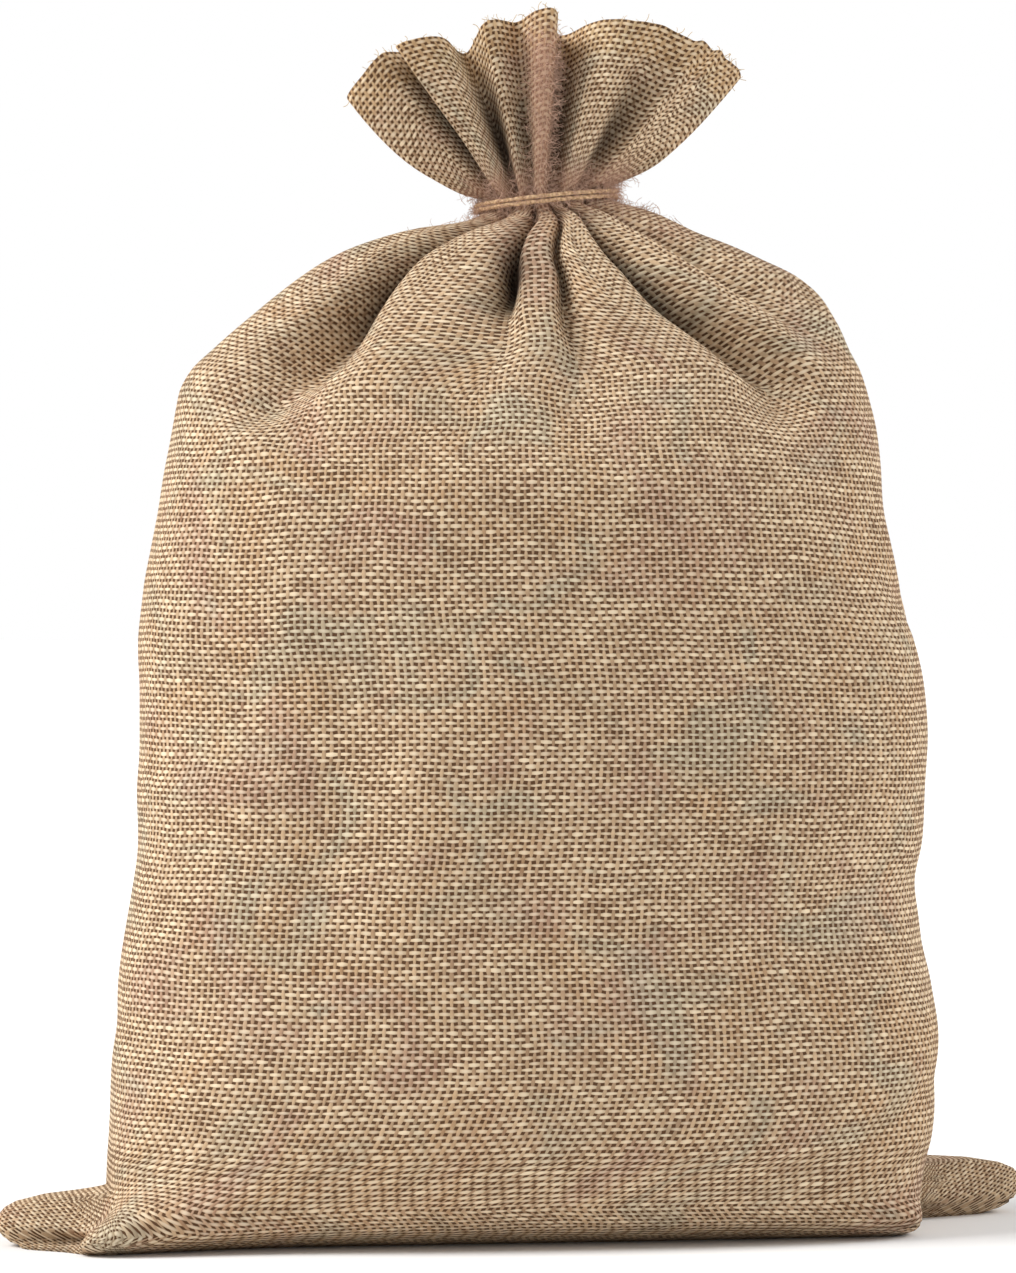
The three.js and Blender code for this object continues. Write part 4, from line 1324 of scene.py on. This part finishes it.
@dataclass
class Twine:
    """The tie: two strands of twine round the neck that cross in a twisted knot at the back."""

    form: SackForm
    finish: JuteTwine
    radius: float = 0.9
    apart: float = 1.0  # from the middle of the pair to each strand
    clear: float = 0.6  # from the cloth to the strands
    height: float = 408.5
    tilt: float = 3.0
    knot_angle: float = 95
    knot_spread: float = 24
    half_twists: float = 3
    bulge: float = 2  # how far the knot stands off, and how much looser its strands lie
    loosen: float = 0.5
    sides: int = 16
    steps: int = 640
    ply_length: float = 5.0  # length of cord in which a ply makes one turn
    ply_depth: float = 0.22  # depth of the groove between the plies, in radii

    def centre(self, turn: Array) -> Array:
        """Points on the centre of the strand, over two turns round the neck."""
        neck = NECK_TOP
        from_knot = turn % TAU - math.radians(self.knot_angle)
        edges = [math.cos(math.radians(self.knot_spread * n)) for n in (2, 1)]
        near = ease(edges[0], edges[1], np.cos(from_knot))
        gap = self.clear + self.radius + self.bulge * near
        half_x, half_y = (neck.left + neck.right) / 2 + gap, neck.front + gap
        c, s = np.cos(turn), np.sin(turn)
        swing = np.stack([half_x * c, half_y * s, self.tilt * c], axis=-1)
        out = unit(np.stack([c / half_x, s / half_y, np.zeros_like(c)], axis=-1))
        spread = math.radians(self.knot_spread)
        knot_turn = ease(-spread, spread, from_knot) + np.floor(turn / TAU)
        strand = math.pi * self.half_twists * knot_turn
        offset = out * np.sin(strand)[:, None] + np.array([0, 0, 1]) * np.cos(strand)[:, None]
        middle = np.array([(neck.right - neck.left) / 2, 0, self.height])
        return middle + swing + offset * (self.apart + self.loosen * near)[:, None]

    def make(self, shift: Array) -> bpy.types.Object:
        """Build the twine, dress it and put it in its solid's place.

        Args:
            shift: Shift of the whole sack in millimetres.

        Returns:
            The twine.
        """
        turn = np.linspace(0, 2 * TAU, self.steps, endpoint=False)
        centres = self.centre(turn)
        along = unit(along_ring(centres))
        side = unit(np.cross([0, 0, 1], along))
        rise = np.cross(along, side)
        run = np.cumsum(np.linalg.norm(np.roll(centres, -1, axis=0) - centres, axis=-1))
        turns = round(run[-1] / self.ply_length)
        angle = TAU * np.arange(self.sides) / self.sides
        phase = (run / run[-1] * turns * TAU)[:, None]
        groove = self.ply_depth * (0.5 + 0.5 * np.cos(2 * angle - phase))
        c, s = np.cos(angle)[:, None], np.sin(angle)[:, None]
        spokes = side[:, None] * c + rise[:, None] * s
        points = centres[:, None] + (self.radius * (1 - groove))[..., None] * spokes
        faces = ring_faces(self.steps, self.sides, closed=True)
        piece = mesh_object("tie_twine", (points.reshape(-1, 3) + shift) * MM, faces.tolist())
        piece.data.materials.append(self.finish.material())
        hairy = piece.data.attributes.new("fluff", "FLOAT", "POINT")
        hairy.data.foreach_set("value", np.ones(len(piece.data.vertices), np.float32))
        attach(piece, "root")
        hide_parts("tie")
        return piece


@dataclass
class Studio:
    """A plain pale floor, soft light and the camera."""

    look_at: tuple[float, float, float] = (-0.0052, 0.0015, 0.2353)
    distance: float = 2.1
    azimuth: float = -8.0
    camera_height: float = 0.25
    frame_height: float = 0.5067  # height of the view at the sack
    sensor: float = 36.0
    suns: tuple[tuple[tuple[float, float, float], float, float], ...] = (
        ((0.75, 0.06, -0.7), 3.3, 30.0),  # the way the light shines, its strength and its width
        ((-0.8, -0.1, -0.5), 1.7, 40.0),
    )
    fill_strength: float = 0.46
    floor_half: float = 30.0
    paper: Matt = Matt("white_paper_sweep", (0.9, 0.9, 0.9, 1.0), 0.9)

    def camera(self) -> None:
        """Make the camera and set it as the scene's."""
        data = bpy.data.cameras.new("camera")
        made = linked("camera", data)
        target = Vector(self.look_at)
        turn = math.radians(self.azimuth)
        back = Vector((math.sin(turn), -math.cos(turn), 0)) * self.distance
        made.location = (target.x + back.x, target.y + back.y, self.camera_height)
        made.rotation_euler = (target - made.location).to_track_quat("-Z", "Y").to_euler()
        data.sensor_width = self.sensor
        data.lens = self.sensor * self.distance / self.frame_height
        bpy.context.scene.camera = made

    def lights(self) -> None:
        """Add the broad lights: the key from the upper left and a weaker one from the right."""
        for way, strength, angle in self.suns:
            data = bpy.data.lights.new("sun", "SUN")
            data.energy, data.angle = strength, math.radians(angle)
            linked("sun", data).rotation_euler = Vector(way).to_track_quat("-Z", "Y").to_euler()

    def world(self) -> None:
        """Make the surroundings: white to look at, dimmer as a light."""
        made = bpy.data.worlds.new("studio")
        tree = emptied(made)
        seen = add(tree, "ShaderNodeLightPath").outputs["Is Camera Ray"]
        strength = add(tree, RANGE, {"Value": seen, "To Min": self.fill_strength, "To Max": 1.0})
        back = add(tree, "ShaderNodeBackground", {"Color": srgb("ffffff"), "Strength": strength})
        add(tree, "ShaderNodeOutputWorld", {"Surface": back})
        bpy.context.scene.world = made

    def make(self) -> None:
        """Set up the floor, the world, the lights and the camera."""
        half = self.floor_half
        corners = np.array([(-half, -half, 0), (half, -half, 0), (half, half, 0), (-half, half, 0)])
        floor = mesh_object("floor", corners, [(0, 1, 2, 3)])
        floor.data.materials.append(self.paper.material())
        self.world()
        bpy.context.scene.view_settings.view_transform = "Standard"
        self.lights()
        self.camera()


def main() -> None:
    """Build the sack piece by piece."""
    logging.basicConfig(level=logging.INFO, format="%(name)s: %(message)s")
    form = SackForm()
    sack = Sack(form, Burlap(), Wear(form))
    cloth = sack.make()
    LOG.info("shift %s", sack.shift)
    twine = Twine(form, JuteTwine()).make(sack.shift)
    pieces = [cloth, twine]
    pink = Matt("pink_jute_lint", srgb("cfab95"))  # fibres so thin that they look a little translucent
    straw = Matt("pale_jute_fibre", srgb("cdb083"))
    for lint, carrier in (
        (Lint("neck_lint", pink, "fluff", 5.5 * MM, 0.09 * MM, density=7e5, seed=4), cloth),
        (Lint("tie_lint", pink, "fluff", 3.2 * MM, 0.08 * MM, density=9e5, seed=6), twine),
        (Lint("rim_fray", straw, "fray", 3.2 * MM, 0.13 * MM, density=1.5e5, seed=9), cloth),
    ):
        pieces.append(lint.make(carrier))
    for piece in pieces:
        LOG.info("%s: %d faces", piece.name, len(piece.data.polygons))
    Studio().make()


if __name__ == "__main__":
    main()
